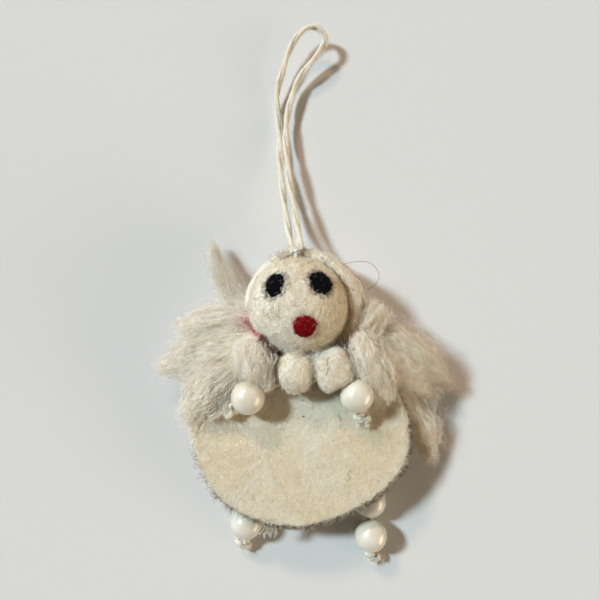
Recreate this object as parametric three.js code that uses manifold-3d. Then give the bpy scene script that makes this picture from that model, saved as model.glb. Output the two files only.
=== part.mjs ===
// A felt christmas ornament: a small angel doll of needle-felted wool, lying on its back.
// Millimetres, +Z up from the table, +Y from the dress towards the crown and the hanging loop.
// The origin is under the head's centre, on the flat back of the hood.
import * as THREE from 'three';
import { mergeVertices } from 'three/addons/utils/BufferGeometryUtils.js';
import Module from 'manifold-3d';

const wasm = await Module();
wasm.setup();

// Driving sizes
const gap = 0.3;

const headRadius = 11.9;
const hoodBack = 1.8;
const hoodWall = 3.0;
const hoodShift = 1.2;
const hoodRimDrop = 2.6;
const hoodRimRound = 1.4;

const eyeWidth = 5.3;
const eyeHeight = 6.0;
const mouthSize = 5.4;
const faceDotDepth = 1.0;

const pearlRadius = 4.0;
const limbCordRadius = 0.75;
const loopCordRadius = 0.85;
const knotRadius = 1.45;
const crownKnotRadius = 1.2;
const crownKnotLength = 4.8;

const dressRadius = 27.6;
const dressThickness = 3.0;
const dressDome = 0.8;
const collarDrop = 5.2;
const dressShift = 0.45;
const dressClearance = 0.4;
const hemWave = 0.3;
const hemWaveCount = 5;

const puffWidth = 8.8;
const puffLength = 10.2;
const puffDepth = 9.0;

const stitchRadius = 0.45;
const stitchKnotRadius = 1.1;
const stitchKnotHeight = 1.2;
const stitchDepth = 1.8;
const eyeRingRadius = 0.6;

const leftArmReach = 10.8;
const rightArmReach = 10.7;
const leftLegReach = 9.9;
const rightLegReach = 11.8;
const tailLength = 6.0;

const woolReach = 36.0;
const woolWidth = 7.4;
const woolHeight = 14.0;

// Levels above the table, worked out from the driving sizes
const headHeight = hoodBack + gap + headRadius;
const hoodRadius = headRadius + hoodWall;
const hoodRim = headHeight - hoodRimDrop;
const dressLift = 2 * pearlRadius + dressClearance;
const dressTop = dressLift + dressThickness + dressDome + hemWave;
const armPearlLevel = dressTop + gap + pearlRadius;
const legPearlLevel = pearlRadius;
const limbBore = limbCordRadius + gap;
const pearlPitch = 2 * pearlRadius + gap;
const collarShare = 0.75;
const dressCentre = [dressShift, -collarDrop - collarShare * dressRadius];

// Facet counts
const ballSides = 20;
const ballRings = 13;
const dotSides = 10;
const dotRings = 6;
const hoodSides = 26;
const rimSteps = 3;
const dressSides = 36;
const hemSteps = 4;
const lockSides = 9;
const lockRings = 8;
const cordSides = 8;
const pearlSides = 16;
const pearlRings = 8;
const limbSteps = 10;
const tailSteps = 2;
const loopSteps = 50;
const stitchSides = 8;
const sweepSteps = 5;

// Finishes
const finish = (color, roughness, metalness = 0) =>
  new THREE.MeshStandardMaterial({ color, roughness, metalness });
const headFelt = () => finish(0xe9e1d0, 0.95);
const dressFelt = () => finish(0xe6dec9, 0.95);
const carded = () => finish(0xe8e0d2, 1.0);
const twine = () => finish(0xe4dccb, 0.9);
const pearlCoat = () => finish(0xf4f1ec, 0.22);
const blackWool = () => finish(0x14151b, 0.95);
const redWool = () => finish(0x9d1018, 0.95);

// Closed three.js geometry to a solid that can be joined and cut
function toSolid(geometry) {
  const bare = geometry.clone();
  bare.deleteAttribute('normal');
  bare.deleteAttribute('uv');
  const merged = mergeVertices(bare, 1e-4);
  return new wasm.Manifold(new wasm.Mesh({
    numProp: 3,
    vertProperties: Float32Array.from(merged.attributes.position.array),
    triVerts: Uint32Array.from(merged.index.array),
  }));
}

// A cut can leave crumbs beside the piece itself, so the main body is kept
function mainBody(solid) {
  const bodies = solid.decompose();
  return bodies.sort((a, b) => b.volume() - a.volume())[0];
}

function toGeometry(solid) {
  const mesh = mainBody(solid).getMesh();
  const geometry = new THREE.BufferGeometry();
  const places = [];
  for (let i = 0; i < mesh.vertProperties.length; i += mesh.numProp) {
    places.push(...mesh.vertProperties.slice(i, i + 3));
  }
  geometry.setAttribute('position', new THREE.Float32BufferAttribute(places, 3));
  geometry.setIndex(Array.from(mesh.triVerts));
  return geometry;
}

// A named piece, whose geometry is measured from its own place
function addPiece(group, name, solid, material, place = [0, 0, 0]) {
  const geometry = toGeometry(solid);
  geometry.translate(-place[0], -place[1], -place[2]);
  geometry.computeVertexNormals();
  const mesh = new THREE.Mesh(geometry, material);
  mesh.name = name;
  mesh.position.set(...place);
  group.add(mesh);
  return mesh;
}

// A closed profile of [radius, height] points turned about +Z, listed from the bottom up
function turned(profile, sides) {
  const points = profile.map(([r, z]) => new THREE.Vector2(r, z));
  const geometry = new THREE.LatheGeometry(points, sides);
  geometry.rotateX(Math.PI / 2);
  return geometry;
}

function arc(centreR, centreZ, radius, from, to, steps) {
  const points = [];
  for (let i = 0; i <= steps; i += 1) {
    const angle = from + ((to - from) * i) / steps;
    points.push([centreR + radius * Math.cos(angle), centreZ + radius * Math.sin(angle)]);
  }
  return points;
}

// An ellipsoid with its half sizes, turned and then placed
function egg(half, place, turn = new THREE.Euler(), sides = ballSides, rings = ballRings) {
  const geometry = new THREE.SphereGeometry(1, sides, rings);
  geometry.rotateX(Math.PI / 2);
  geometry.scale(...half);
  geometry.applyMatrix4(new THREE.Matrix4().makeRotationFromEuler(turn));
  geometry.translate(...place);
  return toSolid(geometry);
}

const headCentre = [0, 0, headHeight];
const headBall = (grow) => egg([headRadius + grow, headRadius + grow, headRadius + grow], headCentre);

// Face dots: little pads of dyed wool felted into the ball, half sunk and half proud
const eyeShares = { left: [-0.495, 0.38], right: [0.395, 0.418] };
const mouthShares = [0.09, -0.413];

function faceDot([xShare, yShare], width, height, grow) {
  const upShare = Math.sqrt(1 - xShare * xShare - yShare * yShare);
  const outward = new THREE.Vector3(xShare, yShare, upShare);
  const place = outward.clone().multiplyScalar(headRadius).add(new THREE.Vector3(...headCentre));
  const lean = new THREE.Quaternion().setFromUnitVectors(new THREE.Vector3(0, 0, 1), outward);
  const turn = new THREE.Euler().setFromQuaternion(lean);
  const half = [width / 2 + grow, height / 2 + grow, faceDotDepth + grow];
  return egg(half, place.toArray(), turn, dotSides, dotRings);
}

const leftEye = (grow) => faceDot(eyeShares.left, eyeWidth, eyeHeight, grow);
const rightEye = (grow) => faceDot(eyeShares.right, eyeWidth, eyeHeight, grow);
const mouth = (grow) => faceDot(mouthShares, mouthSize, mouthSize, grow);

// Hood: a felt cup behind the head, flat at the back, its rim open under the chin
const hoodWidestShare = 0.82;
const chinFrontShare = -0.28;
const chinBackShare = -1.05;
const chinFloorShare = 0.42;
const rimFrom = Math.PI / 6;
const hoodOverrun = 2 * hoodRadius;

function hood(grow) {
  const widest = hoodRim * hoodWidestShare;
  const backRadius = Math.sqrt(hoodRadius * hoodRadius - widest * widest);
  const rimRadius = hoodRimRound + grow;
  const topAngle = Math.asin((hoodRim + grow - widest - rimRadius) / hoodRadius);
  const outer = hoodRadius + grow;
  const profile = [
    [0, -grow],
    [backRadius + grow, -grow],
    ...arc(0, widest, outer, -Math.asin(widest / outer), topAngle, rimSteps * 2),
    ...arc(outer - rimRadius, hoodRim + grow - rimRadius, rimRadius, rimFrom, Math.PI / 2, rimSteps),
    [0, hoodRim + grow],
  ];
  const cup = turned(profile, hoodSides);
  cup.translate(hoodShift, 0, 0);
  const chin = new THREE.Shape([
    new THREE.Vector2(headRadius * chinFrontShare - grow, hoodRim + grow + hoodWall),
    new THREE.Vector2(headRadius * chinFrontShare - grow, hoodRim + grow),
    new THREE.Vector2(headRadius * chinBackShare - grow, hoodRim * chinFloorShare + grow),
    new THREE.Vector2(-hoodOverrun, hoodRim * chinFloorShare + grow),
    new THREE.Vector2(-hoodOverrun, hoodRim + grow + hoodWall),
  ]);
  const opening = new THREE.ExtrudeGeometry(chin, { depth: 2 * hoodOverrun, bevelEnabled: false });
  opening.translate(0, 0, -hoodOverrun);
  opening.applyMatrix4(new THREE.Matrix4().makeBasis(
    new THREE.Vector3(0, 1, 0), new THREE.Vector3(0, 0, 1), new THREE.Vector3(1, 0, 0)));
  return toSolid(cup).subtract(toSolid(opening));
}

// Dress: one thick felt disc, a little domed, with a hand-cut edge
const dressEdgeShares = [
  0.93, 0.84, 0.80, 0.85, 0.90, 0.85, 0.84, 0.92,
  0.965, 0.985, 1.005, 0.985, 0.97, 0.945, 0.975, 1.02,
];
const dressInnerShares = [0.4, 0.75];

function aroundShare(shares, angle) {
  const count = shares.length;
  const spot = (((angle / (2 * Math.PI)) % 1) + 1) % 1 * count;
  const i = Math.floor(spot);
  const f = spot - i;
  const at = (k) => shares[(i + k + count) % count];
  const bend = (at(1) - at(-1)) * f
    + (2 * at(-1) - 5 * at(0) + 4 * at(1) - at(2)) * f * f
    + (3 * at(0) - at(-1) - 3 * at(1) + at(2)) * f * f * f;
  return at(0) + bend / 2;
}

function dress(grow) {
  const half = dressThickness / 2 + grow;
  const edge = dressRadius + grow - half;
  const inner = dressInnerShares.map((share) => dressRadius * share);
  const profile = [
    [0, -grow],
    ...inner.map((r) => [r, -grow]),
    ...arc(edge, dressThickness / 2, half, -Math.PI / 2, Math.PI / 2, hemSteps),
    ...inner.slice().reverse().map((r) => [r, dressThickness + grow]),
    [0, dressThickness + grow],
  ];
  const disc = turned(profile, dressSides);
  const places = disc.attributes.position;
  for (let i = 0; i < places.count; i += 1) {
    const x = places.getX(i);
    const y = places.getY(i);
    const out = Math.hypot(x, y) / dressRadius;
    const angle = Math.atan2(y, x);
    const trim = 1 + (aroundShare(dressEdgeShares, angle) - 1) * Math.min(1, out * out);
    const dome = dressDome * (1 - Math.min(1, out * out));
    const wave = hemWave * out * out * (1 + Math.sin(hemWaveCount * angle)) / 2;
    places.setXYZ(i, x * trim, y * trim, places.getZ(i) + dressLift + dome + wave);
  }
  disc.translate(...dressCentre, 0);
  return toSolid(disc);
}

// Limbs: a cord sewn to the dress at one end, with pearls strung on it and a knot below them
const limbs = [
  {
    name: 'left_arm', anchorShares: [-0.098, 0.330], heading: 204.2, reach: leftArmReach, arm: true,
    pearls: ['left_hand_pearl'], driftShare: 0.25, tailShares: [[1.0, -0.03]], swing: [-5, 40],
  },
  {
    name: 'right_arm', anchorShares: [0.369, 0.559], heading: -75.7, reach: rightArmReach, arm: true,
    pearls: ['right_hand_pearl'], driftShare: 0.07, tailShares: [[0.40, -0.34], [0.50, 0.16]],
    swing: [0, 15],
  },
  {
    name: 'left_leg', anchorShares: [-0.513, -0.330], heading: -88.4, reach: leftLegReach, arm: false,
    pearls: ['left_foot_pearl_upper', 'left_foot_pearl_lower'], driftShare: -0.20,
    tailShares: [[0.42, 0.10]], swing: [-25, 25],
  },
  {
    name: 'right_leg', anchorShares: [0.620, -0.378], heading: -89, reach: rightLegReach, arm: false,
    pearls: ['right_foot_pearl_upper', 'right_foot_pearl_lower'], driftShare: 0.22,
    tailShares: [[0.30, 0.48], [0.40, 0.02]], swing: [-25, 25],
  },
];

const anchorOf = (limb) => [
  dressCentre[0] + limb.anchorShares[0] * dressRadius,
  dressCentre[1] + limb.anchorShares[1] * dressRadius,
];

// Heights of the dress's faces under a stitch, on the dome without its hem wave
function dressFace(limb) {
  const out = Math.hypot(...limb.anchorShares);
  const dome = dressDome * (1 - out * out);
  return limb.arm ? dressTop : dressLift + dome - hemWave / 2;
}

// Which way a limb's stitch points: up from the dress for an arm, down for a leg
const upward = (limb) => (limb.arm ? 1 : -1);
const eyeLevel = (limb) => dressFace(limb) + upward(limb) * (gap + eyeRingRadius);
const pearlLevel = (limb) => (limb.arm ? armPearlLevel : legPearlLevel);
const knotLevel = (limb) => (limb.arm ? dressTop + gap + knotRadius : knotRadius + gap);
const lastReach = (limb) => limb.reach + (limb.pearls.length - 1) * pearlPitch;
const knotReach = (limb) => lastReach(limb) + pearlRadius + gap + knotRadius;
const eyeRingCentre = stitchRadius + gap + eyeRingRadius;

const cordSection = (radius) => {
  const points = [];
  for (let i = 0; i < cordSides; i += 1) {
    const angle = ((i + 0.5) * 2 * Math.PI) / cordSides;
    points.push(new THREE.Vector2(radius * Math.cos(angle), radius * Math.sin(angle)));
  }
  return new THREE.Shape(points);
};

function tube(points, radius, steps) {
  const path = new THREE.CatmullRomCurve3(points.map((p) => new THREE.Vector3(...p)));
  return new THREE.ExtrudeGeometry(cordSection(radius), {
    steps, extrudePath: path, bevelEnabled: false,
  });
}

// A limb's cord in its own frame: the stitch at the origin, the limb along +X, heights as they are
const riseShares = [0.45, 0.8];
const straightShares = [-1.22, -1.0, -0.5, 0.5, 1.0, 1.1];
const tailDipShare = 0.6;

function limbCord(limb) {
  const eye = eyeLevel(limb);
  const level = pearlLevel(limb);
  const drift = limb.driftShare * pearlRadius;
  const start = limb.reach + straightShares[0] * pearlRadius;
  const points = [[eyeRingCentre, 0, eye]];
  for (const share of riseShares) {
    const along = eyeRingCentre + (start - eyeRingCentre) * share;
    points.push([along, 0, eye + (level - eye) * share * share]);
  }
  for (let i = 0; i < limb.pearls.length; i += 1) {
    for (const share of straightShares.slice(i > 0 ? 2 : 0)) {
      points.push([limb.reach + i * pearlPitch + share * pearlRadius, 0, level]);
    }
  }
  const knot = [knotReach(limb), drift, knotLevel(limb)];
  points.push(knot);
  const ring = new THREE.TorusGeometry(eyeRingCentre, eyeRingRadius, cordSides, dotSides);
  ring.translate(0, 0, eye);
  let cord = toSolid(ring).add(toSolid(tube(points, limbCordRadius, limbSteps * limb.pearls.length)));
  cord = cord.add(egg([knotRadius, knotRadius, knotRadius], knot, new THREE.Euler(), dotSides, dotRings));
  const floor = limb.arm ? dressTop : 0;
  for (const [alongShare, sideShare] of limb.tailShares) {
    const tip = [
      knot[0] + alongShare * tailLength, knot[1] + sideShare * tailLength,
      floor + gap + limbCordRadius,
    ];
    const middle = knot.map((value, k) => value + (tip[k] - value) / 2);
    middle[2] = knot[2] + (tip[2] - knot[2]) * tailDipShare;
    cord = cord.add(toSolid(tube([knot, middle, tip], limbCordRadius, tailSteps)));
  }
  return cord;
}

// A pearl bead strung along +X, with its bore
function pearl() {
  const mouthAngle = Math.acos(limbBore / pearlRadius);
  const profile = arc(0, 0, pearlRadius, -mouthAngle, mouthAngle, pearlRings);
  profile.push(profile[0].slice());
  const geometry = turned(profile, pearlSides);
  geometry.rotateZ(Math.PI);
  geometry.rotateY(Math.PI / 2);
  return toSolid(geometry);
}

// A stitch: a thread root in the dress, a stem through the cord's eye and a knot that keeps it on
function stitch(limb, grow) {
  const top = 2 * eyeRingRadius + 2 * gap;
  const profile = [
    [0, -stitchDepth + gap - grow],
    [stitchRadius + grow, -stitchDepth + gap - grow],
    [stitchRadius + grow, top - grow],
    [stitchKnotRadius + grow, top - grow],
    [stitchKnotRadius + grow, top + stitchKnotHeight + grow],
    [0, top + stitchKnotHeight + grow],
  ];
  const geometry = turned(profile, stitchSides);
  if (!limb.arm) geometry.rotateX(Math.PI);
  geometry.translate(...anchorOf(limb), dressFace(limb));
  return toSolid(geometry);
}

// The slab that a limb sweeps through between two heights, out to a reach, over its swing
function fan(limb, reach, halfWidth, low, high) {
  const [x, y] = anchorOf(limb);
  const turn = (degrees) => THREE.MathUtils.degToRad(limb.heading + degrees);
  const [from, to] = limb.swing;
  const spot = (angle, along, side) => new THREE.Vector2(
    x + along * Math.cos(angle) - side * Math.sin(angle),
    y + along * Math.sin(angle) + side * Math.cos(angle));
  const outline = [spot(turn(from), -halfWidth, -halfWidth)];
  for (let i = 0; i <= sweepSteps; i += 1) {
    const angle = turn(from + ((to - from) * i) / sweepSteps);
    const side = halfWidth * ((2 * i) / sweepSteps - 1);
    outline.push(spot(angle, reach, side));
  }
  outline.push(spot(turn(to), -halfWidth, halfWidth));
  const slab = new THREE.ExtrudeGeometry(new THREE.Shape(outline), {
    depth: high - low, bevelEnabled: false,
  });
  slab.translate(0, 0, low);
  return toSolid(slab);
}

const lowFanShare = 0.42;

function sweep(limb) {
  const [x, y] = anchorOf(limb);
  const face = dressFace(limb);
  const knotTop = knotLevel(limb) + knotRadius + gap;
  const cordTop = (level) => level + limbCordRadius + gap;
  const far = knotReach(limb) + tailLength + gap;
  let swept = stitch(limb, gap);
  swept = swept.add(fan(limb, limb.reach * lowFanShare, eyeRingCentre + eyeRingRadius + gap,
    face - gap, cordTop(eyeLevel(limb))));
  swept = swept.add(fan(limb, limb.reach, limbBore, face - gap, cordTop(pearlLevel(limb))));
  swept = swept.add(fan(limb, far, knotRadius + gap, face - gap, knotTop));
  for (let i = 0; i <= sweepSteps; i += 1) {
    const degrees = limb.swing[0] + ((limb.swing[1] - limb.swing[0]) * i) / sweepSteps;
    const angle = THREE.MathUtils.degToRad(limb.heading + degrees);
    const place = [x + limb.reach * Math.cos(angle), y + limb.reach * Math.sin(angle), pearlLevel(limb)];
    const radius = pearlRadius + gap;
    swept = swept.add(egg([radius, radius, radius], place, new THREE.Euler(), dotSides, dotSides));
  }
  return swept;
}

// Collar: two felt balls under the chin, resting on the dress
const leftPuffShares = [-0.08, -1.275];
const rightPuffShares = [0.625, -1.225];
const rightPuffLean = 18;

function puff([xShare, yShare], lean, grow) {
  const place = [headRadius * xShare, headRadius * yShare, dressTop + gap + puffDepth / 2];
  const half = [puffWidth / 2 + grow, puffLength / 2 + grow, puffDepth / 2 + grow];
  return egg(half, place, new THREE.Euler(0, 0, THREE.MathUtils.degToRad(lean)), dotSides + 2, dotRings + 2);
}

// A lock of carded wool: rings along a bent line, swelling and tapering, flatter than wide.
// Places are shares of the wool's reach across the table and of the head's height above it.
function lock({ routeShares, widthShares, flatShare }, grow) {
  const route = new THREE.CatmullRomCurve3(routeShares.map(([x, y, z]) =>
    new THREE.Vector3(x * woolReach, y * woolReach, z * woolHeight)));
  const profile = [];
  for (let i = 0; i <= lockRings; i += 1) {
    const angle = (Math.PI * i) / lockRings;
    profile.push(new THREE.Vector2(Math.sin(angle), -Math.cos(angle)));
  }
  profile[0].x = 0;
  profile[lockRings].x = 0;
  const body = new THREE.LatheGeometry(profile, lockSides);
  const places = body.attributes.position;
  const up = new THREE.Vector3(0, 0, 1);
  for (let i = 0; i < places.count; i += 1) {
    const [x, y, z] = [places.getX(i), places.getY(i), places.getZ(i)];
    const along = THREE.MathUtils.clamp((y + 1) / 2, 0, 1);
    const ring = Math.hypot(x, z);
    const spot = along * (widthShares.length - 1);
    const step = Math.min(Math.floor(spot), widthShares.length - 2);
    const share = THREE.MathUtils.lerp(widthShares[step], widthShares[step + 1], spot - step);
    const width = share * woolWidth + grow;
    const depth = share * woolWidth * flatShare + grow;
    const taper = ring > 0 ? Math.sqrt(ring) / ring : 0;
    const tangent = route.getTangentAt(along);
    const side = new THREE.Vector3().crossVectors(up, tangent).normalize();
    const lift = new THREE.Vector3().crossVectors(tangent, side);
    const place = route.getPointAt(along)
      .addScaledVector(side, z * taper * width)
      .addScaledVector(lift, x * taper * depth)
      .addScaledVector(tangent, y * grow);
    places.setXYZ(i, ...place);
  }
  return toSolid(body);
}

const locks = [
  {
    name: 'wool_left_main', flatShare: 0.58, widthShares: [0.5, 0.92, 0.88, 0.3],
    routeShares: [[-0.25, -0.20, 0.86], [-0.45, -0.26, 0.84], [-0.68, -0.31, 0.68], [-0.95, -0.41, 0.42]],
  },
  {
    name: 'wool_left_upper', flatShare: 0.6, widthShares: [0.5, 0.66, 0.66, 0.3],
    routeShares: [[-0.28, -0.08, 0.80], [-0.48, -0.09, 0.78], [-0.66, -0.10, 0.64], [-0.83, -0.12, 0.48]],
  },
  {
    name: 'wool_left_wisp', flatShare: 0.6, widthShares: [0.45, 0.55, 0.5, 0.15],
    routeShares: [[-0.33, -0.06, 0.66], [-0.46, 0.10, 0.54], [-0.56, 0.28, 0.42], [-0.61, 0.45, 0.32]],
  },
  {
    name: 'wool_left_inner', flatShare: 1.0, widthShares: [0.4, 0.62, 0.62, 0.35],
    routeShares: [[-0.26, -0.20, 1.16], [-0.29, -0.31, 1.22], [-0.29, -0.41, 1.22], [-0.27, -0.50, 1.18]],
  },
  {
    name: 'wool_left_lower', flatShare: 0.55, widthShares: [0.4, 0.7, 0.8, 0.45],
    routeShares: [[-0.36, -0.32, 1.02], [-0.50, -0.46, 1.08], [-0.63, -0.60, 1.06], [-0.75, -0.75, 0.86]],
  },
  {
    name: 'wool_right_main', flatShare: 0.58, widthShares: [0.5, 0.88, 0.9, 0.3],
    routeShares: [[0.34, -0.15, 0.86], [0.58, -0.20, 0.82], [0.83, -0.33, 0.64], [1.03, -0.48, 0.40]],
  },
  {
    name: 'wool_right_lobe', flatShare: 0.8, widthShares: [0.4, 0.5, 0.5, 0.35],
    routeShares: [[0.34, -0.12, 0.98], [0.41, -0.07, 0.98], [0.46, -0.01, 0.94], [0.50, 0.04, 0.86]],
  },
  {
    name: 'wool_right_inner', flatShare: 0.8, widthShares: [0.4, 0.65, 0.7, 0.3],
    routeShares: [[0.36, -0.16, 1.12], [0.42, -0.32, 1.20], [0.49, -0.46, 1.12], [0.60, -0.62, 0.98]],
  },
  {
    name: 'wool_right_under', flatShare: 0.6, widthShares: [0.45, 0.8, 0.75, 0.25],
    routeShares: [[0.44, -0.24, 0.84], [0.62, -0.36, 0.84], [0.78, -0.48, 0.66], [0.92, -0.60, 0.42]],
  },
  {
    name: 'wool_right_tuft', flatShare: 0.55, widthShares: [0.45, 0.66, 0.62, 0.2],
    routeShares: [[0.66, -0.54, 0.62], [0.77, -0.70, 0.44], [0.88, -0.88, 0.32], [0.93, -1.04, 0.26]],
  },
];

// Crown knot: the knotted end of the loop, held between the head and the hood's rim
const crownKnotLevelShare = 0.93;
const crownKnotShift = -0.85;
const crownKnotPlace = (() => {
  const z = headHeight * crownKnotLevelShare;
  const reach = headRadius + gap + crownKnotRadius;
  return [crownKnotShift, Math.sqrt(reach * reach - (headHeight - z) ** 2), z];
})();

function crownKnot(grow) {
  const half = [crownKnotLength / 2 + grow, crownKnotRadius + grow, crownKnotRadius + grow];
  return egg(half, crownKnotPlace, new THREE.Euler(), dotSides, dotRings);
}

// Hanging loop: one length of twine, out from the crown, round the arch and back beside itself
const strandSplit = loopCordRadius + gap / 2;
const exitFall = Math.PI / 5;
const exitReach = crownKnotRadius + gap;
const loopExit = (side) => [
  crownKnotPlace[0] + side * strandSplit,
  crownKnotPlace[1] + exitReach * Math.cos(exitFall),
  crownKnotPlace[2] - exitReach * Math.sin(exitFall),
];
const loopRoute = [
  [-2.1, 16.3, 11.0], [-2.7, 20.1, 8.4], [-3.3, 24.0, 6.6], [-3.8, 28.0, 5.3], [-4.4, 32.8, 4.0],
  [-4.8, 37.4, 3.0], [-5.0, 41.9, 2.2], [-5.0, 45.9, 1.7], [-5.2, 49.8, 1.6], [-5.6, 53.5, 2.0],
  [-5.7, 57.0, 2.6], [-5.3, 60.1, 3.2], [-4.5, 62.6, 3.6], [-3.7, 65.2, 4.0], [-2.7, 68.3, 4.4],
  [-1.1, 71.4, 4.9], [0.9, 73.8, 5.3], [3.3, 74.8, 5.6], [5.2, 74.3, 5.6], [6.6, 72.8, 5.4],
  [7.0, 70.9, 5.1], [6.0, 69.1, 4.8], [4.2, 66.9, 4.2], [2.2, 64.4, 3.6], [0.4, 62.1, 3.0],
  [-1.0, 59.5, 2.7], [-1.9, 56.5, 2.6], [-2.7, 53.2, 2.7], [-3.3, 49.2, 3.0], [-3.4, 45.3, 3.5],
  [-3.2, 41.3, 4.2], [-2.8, 36.8, 5.0], [-2.3, 32.4, 5.6], [-1.5, 27.7, 6.4], [-0.9, 23.8, 7.4],
  [-0.3, 20.0, 8.8], [0.2, 16.2, 11.0],
];

const ornament = new THREE.Group();

// Head and face
const head = headBall(0).subtract(leftEye(gap)).subtract(rightEye(gap)).subtract(mouth(gap));
addPiece(ornament, 'head', head, headFelt(), headCentre);
addPiece(ornament, 'left_eye', leftEye(0), blackWool());
addPiece(ornament, 'right_eye', rightEye(0), blackWool());
addPiece(ornament, 'mouth', mouth(0), redWool());

// Hood behind the head
const headRoom = headBall(gap);
addPiece(ornament, 'hood', hood(0).subtract(headRoom).subtract(crownKnot(gap)), headFelt());

// Dress, with a blind hole for each stitch
const core = headRoom.add(hood(gap));
let dressSolid = dress(0).subtract(core);
for (const limb of limbs) dressSolid = dressSolid.subtract(stitch(limb, gap));
addPiece(ornament, 'dress', dressSolid, dressFelt(), [...dressCentre, dressLift]);
for (const limb of limbs) addPiece(ornament, `${limb.name}_stitch`, stitch(limb, 0), twine());

// Collar balls and wool locks, each cut clear of what it lies against and of the arms' swing
let taken = core.add(dress(gap));
for (const limb of limbs) if (limb.arm) taken = taken.add(sweep(limb));
addPiece(ornament, 'collar_puff_left', puff(leftPuffShares, 0, 0).subtract(taken), headFelt());
taken = taken.add(puff(leftPuffShares, 0, gap));
const rightPuff = puff(rightPuffShares, rightPuffLean, 0);
addPiece(ornament, 'collar_puff_right', rightPuff.subtract(taken), headFelt());
taken = taken.add(puff(rightPuffShares, rightPuffLean, gap));
for (const piece of locks) {
  addPiece(ornament, piece.name, lock(piece, 0).subtract(taken), carded());
  taken = taken.add(lock(piece, gap));
}

// Limbs, each in a group that turns about its stitch
for (const limb of limbs) {
  const group = new THREE.Group();
  group.position.set(...anchorOf(limb), 0);
  group.rotation.z = THREE.MathUtils.degToRad(limb.heading);
  addPiece(group, `${limb.name}_cord`, limbCord(limb), twine());
  limb.pearls.forEach((name, i) => {
    const bead = addPiece(group, name, pearl(), pearlCoat());
    bead.position.set(limb.reach + i * pearlPitch, 0, pearlLevel(limb));
  });
  ornament.add(group);
}

// Hanging loop and the knot that holds it
addPiece(ornament, 'crown_knot', crownKnot(0), twine(), crownKnotPlace);
const loop = tube([loopExit(-1), ...loopRoute, loopExit(1)], loopCordRadius, loopSteps);
addPiece(ornament, 'hanging_loop', toSolid(loop), twine());

export default ornament;
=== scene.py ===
# %% [markdown]
# A felt christmas ornament, made in Blender.
# The real thing is a small angel doll that lies on its back: a needle-felted wool head with a
# felt hood, a round felt dress, tufts of carded wool, pearl beads on knotted cords and a loop
# of twine to hang it by.
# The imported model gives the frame: every solid, body and joint, in metres. What is made here is
# placed by that frame, so nothing has to be fitted afterwards.

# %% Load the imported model
from collections import namedtuple
from math import asin, copysign, cos, exp, pi, radians, sin, sqrt

import bmesh
import bpy
import numpy as np
from mathutils import Matrix, Vector
from mathutils.bvhtree import BVHTree


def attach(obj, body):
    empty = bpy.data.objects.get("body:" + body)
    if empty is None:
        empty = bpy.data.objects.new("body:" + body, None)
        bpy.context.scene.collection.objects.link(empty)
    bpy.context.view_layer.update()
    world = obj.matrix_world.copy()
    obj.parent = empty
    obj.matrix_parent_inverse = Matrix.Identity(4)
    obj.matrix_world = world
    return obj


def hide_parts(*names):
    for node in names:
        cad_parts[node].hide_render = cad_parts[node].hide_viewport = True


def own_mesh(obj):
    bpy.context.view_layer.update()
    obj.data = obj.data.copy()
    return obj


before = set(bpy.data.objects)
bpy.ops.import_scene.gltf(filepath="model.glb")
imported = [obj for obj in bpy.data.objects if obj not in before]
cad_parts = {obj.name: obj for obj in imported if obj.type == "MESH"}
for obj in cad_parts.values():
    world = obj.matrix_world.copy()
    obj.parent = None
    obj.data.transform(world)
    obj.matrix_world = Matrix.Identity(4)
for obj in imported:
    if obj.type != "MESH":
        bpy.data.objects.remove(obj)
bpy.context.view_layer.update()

MM = 0.001

# %% [markdown]
# The photograph looks almost straight down on the doll from about 16 cm. The camera stands where
# a fit to the ruled lines under the doll puts it, so that the render and the photograph can be
# laid over each other. Its three axes are written out, because that is exact where angles round.

# %% The photograph's camera
CAMERA_PLACE = (-0.0022845, -0.0094908, 0.1577946)
CAMERA_RIGHT = (0.9998617, -0.0012989, 0.0165799)
CAMERA_UP = (0.0, 0.9969455, 0.0781004)
CAMERA_BACK = (-0.0166307, -0.0780896, 0.9968076)
LENS = FILM_WIDTH = 36.0


def put(name, data):
    """A new object at the origin, in the scene."""
    made = bpy.data.objects.new(name, data)
    bpy.context.scene.collection.objects.link(made)
    return made


lens = bpy.data.cameras.new("photo_camera")
lens.lens, lens.sensor_width, lens.clip_start = LENS, FILM_WIDTH, 5 * MM
camera = put("photo_camera", lens)
turn = Matrix((CAMERA_RIGHT, CAMERA_UP, CAMERA_BACK)).transposed().to_4x4()
camera.matrix_world = Matrix.Translation(CAMERA_PLACE) @ turn
bpy.context.scene.camera = camera
bpy.context.scene.view_settings.view_transform = "Standard"
print("Camera is", round(camera.location.z / MM), "mm above the table")

# %% [markdown]
# Nodes are easier to read as sums than as lists of links. Wire wraps one socket, and adding or
# multiplying wires adds the Math nodes. Bench wraps a tree and adds any other node: its settings
# first, then the values or wires of its sockets. Both serve materials and Geometry Nodes alike.

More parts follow.
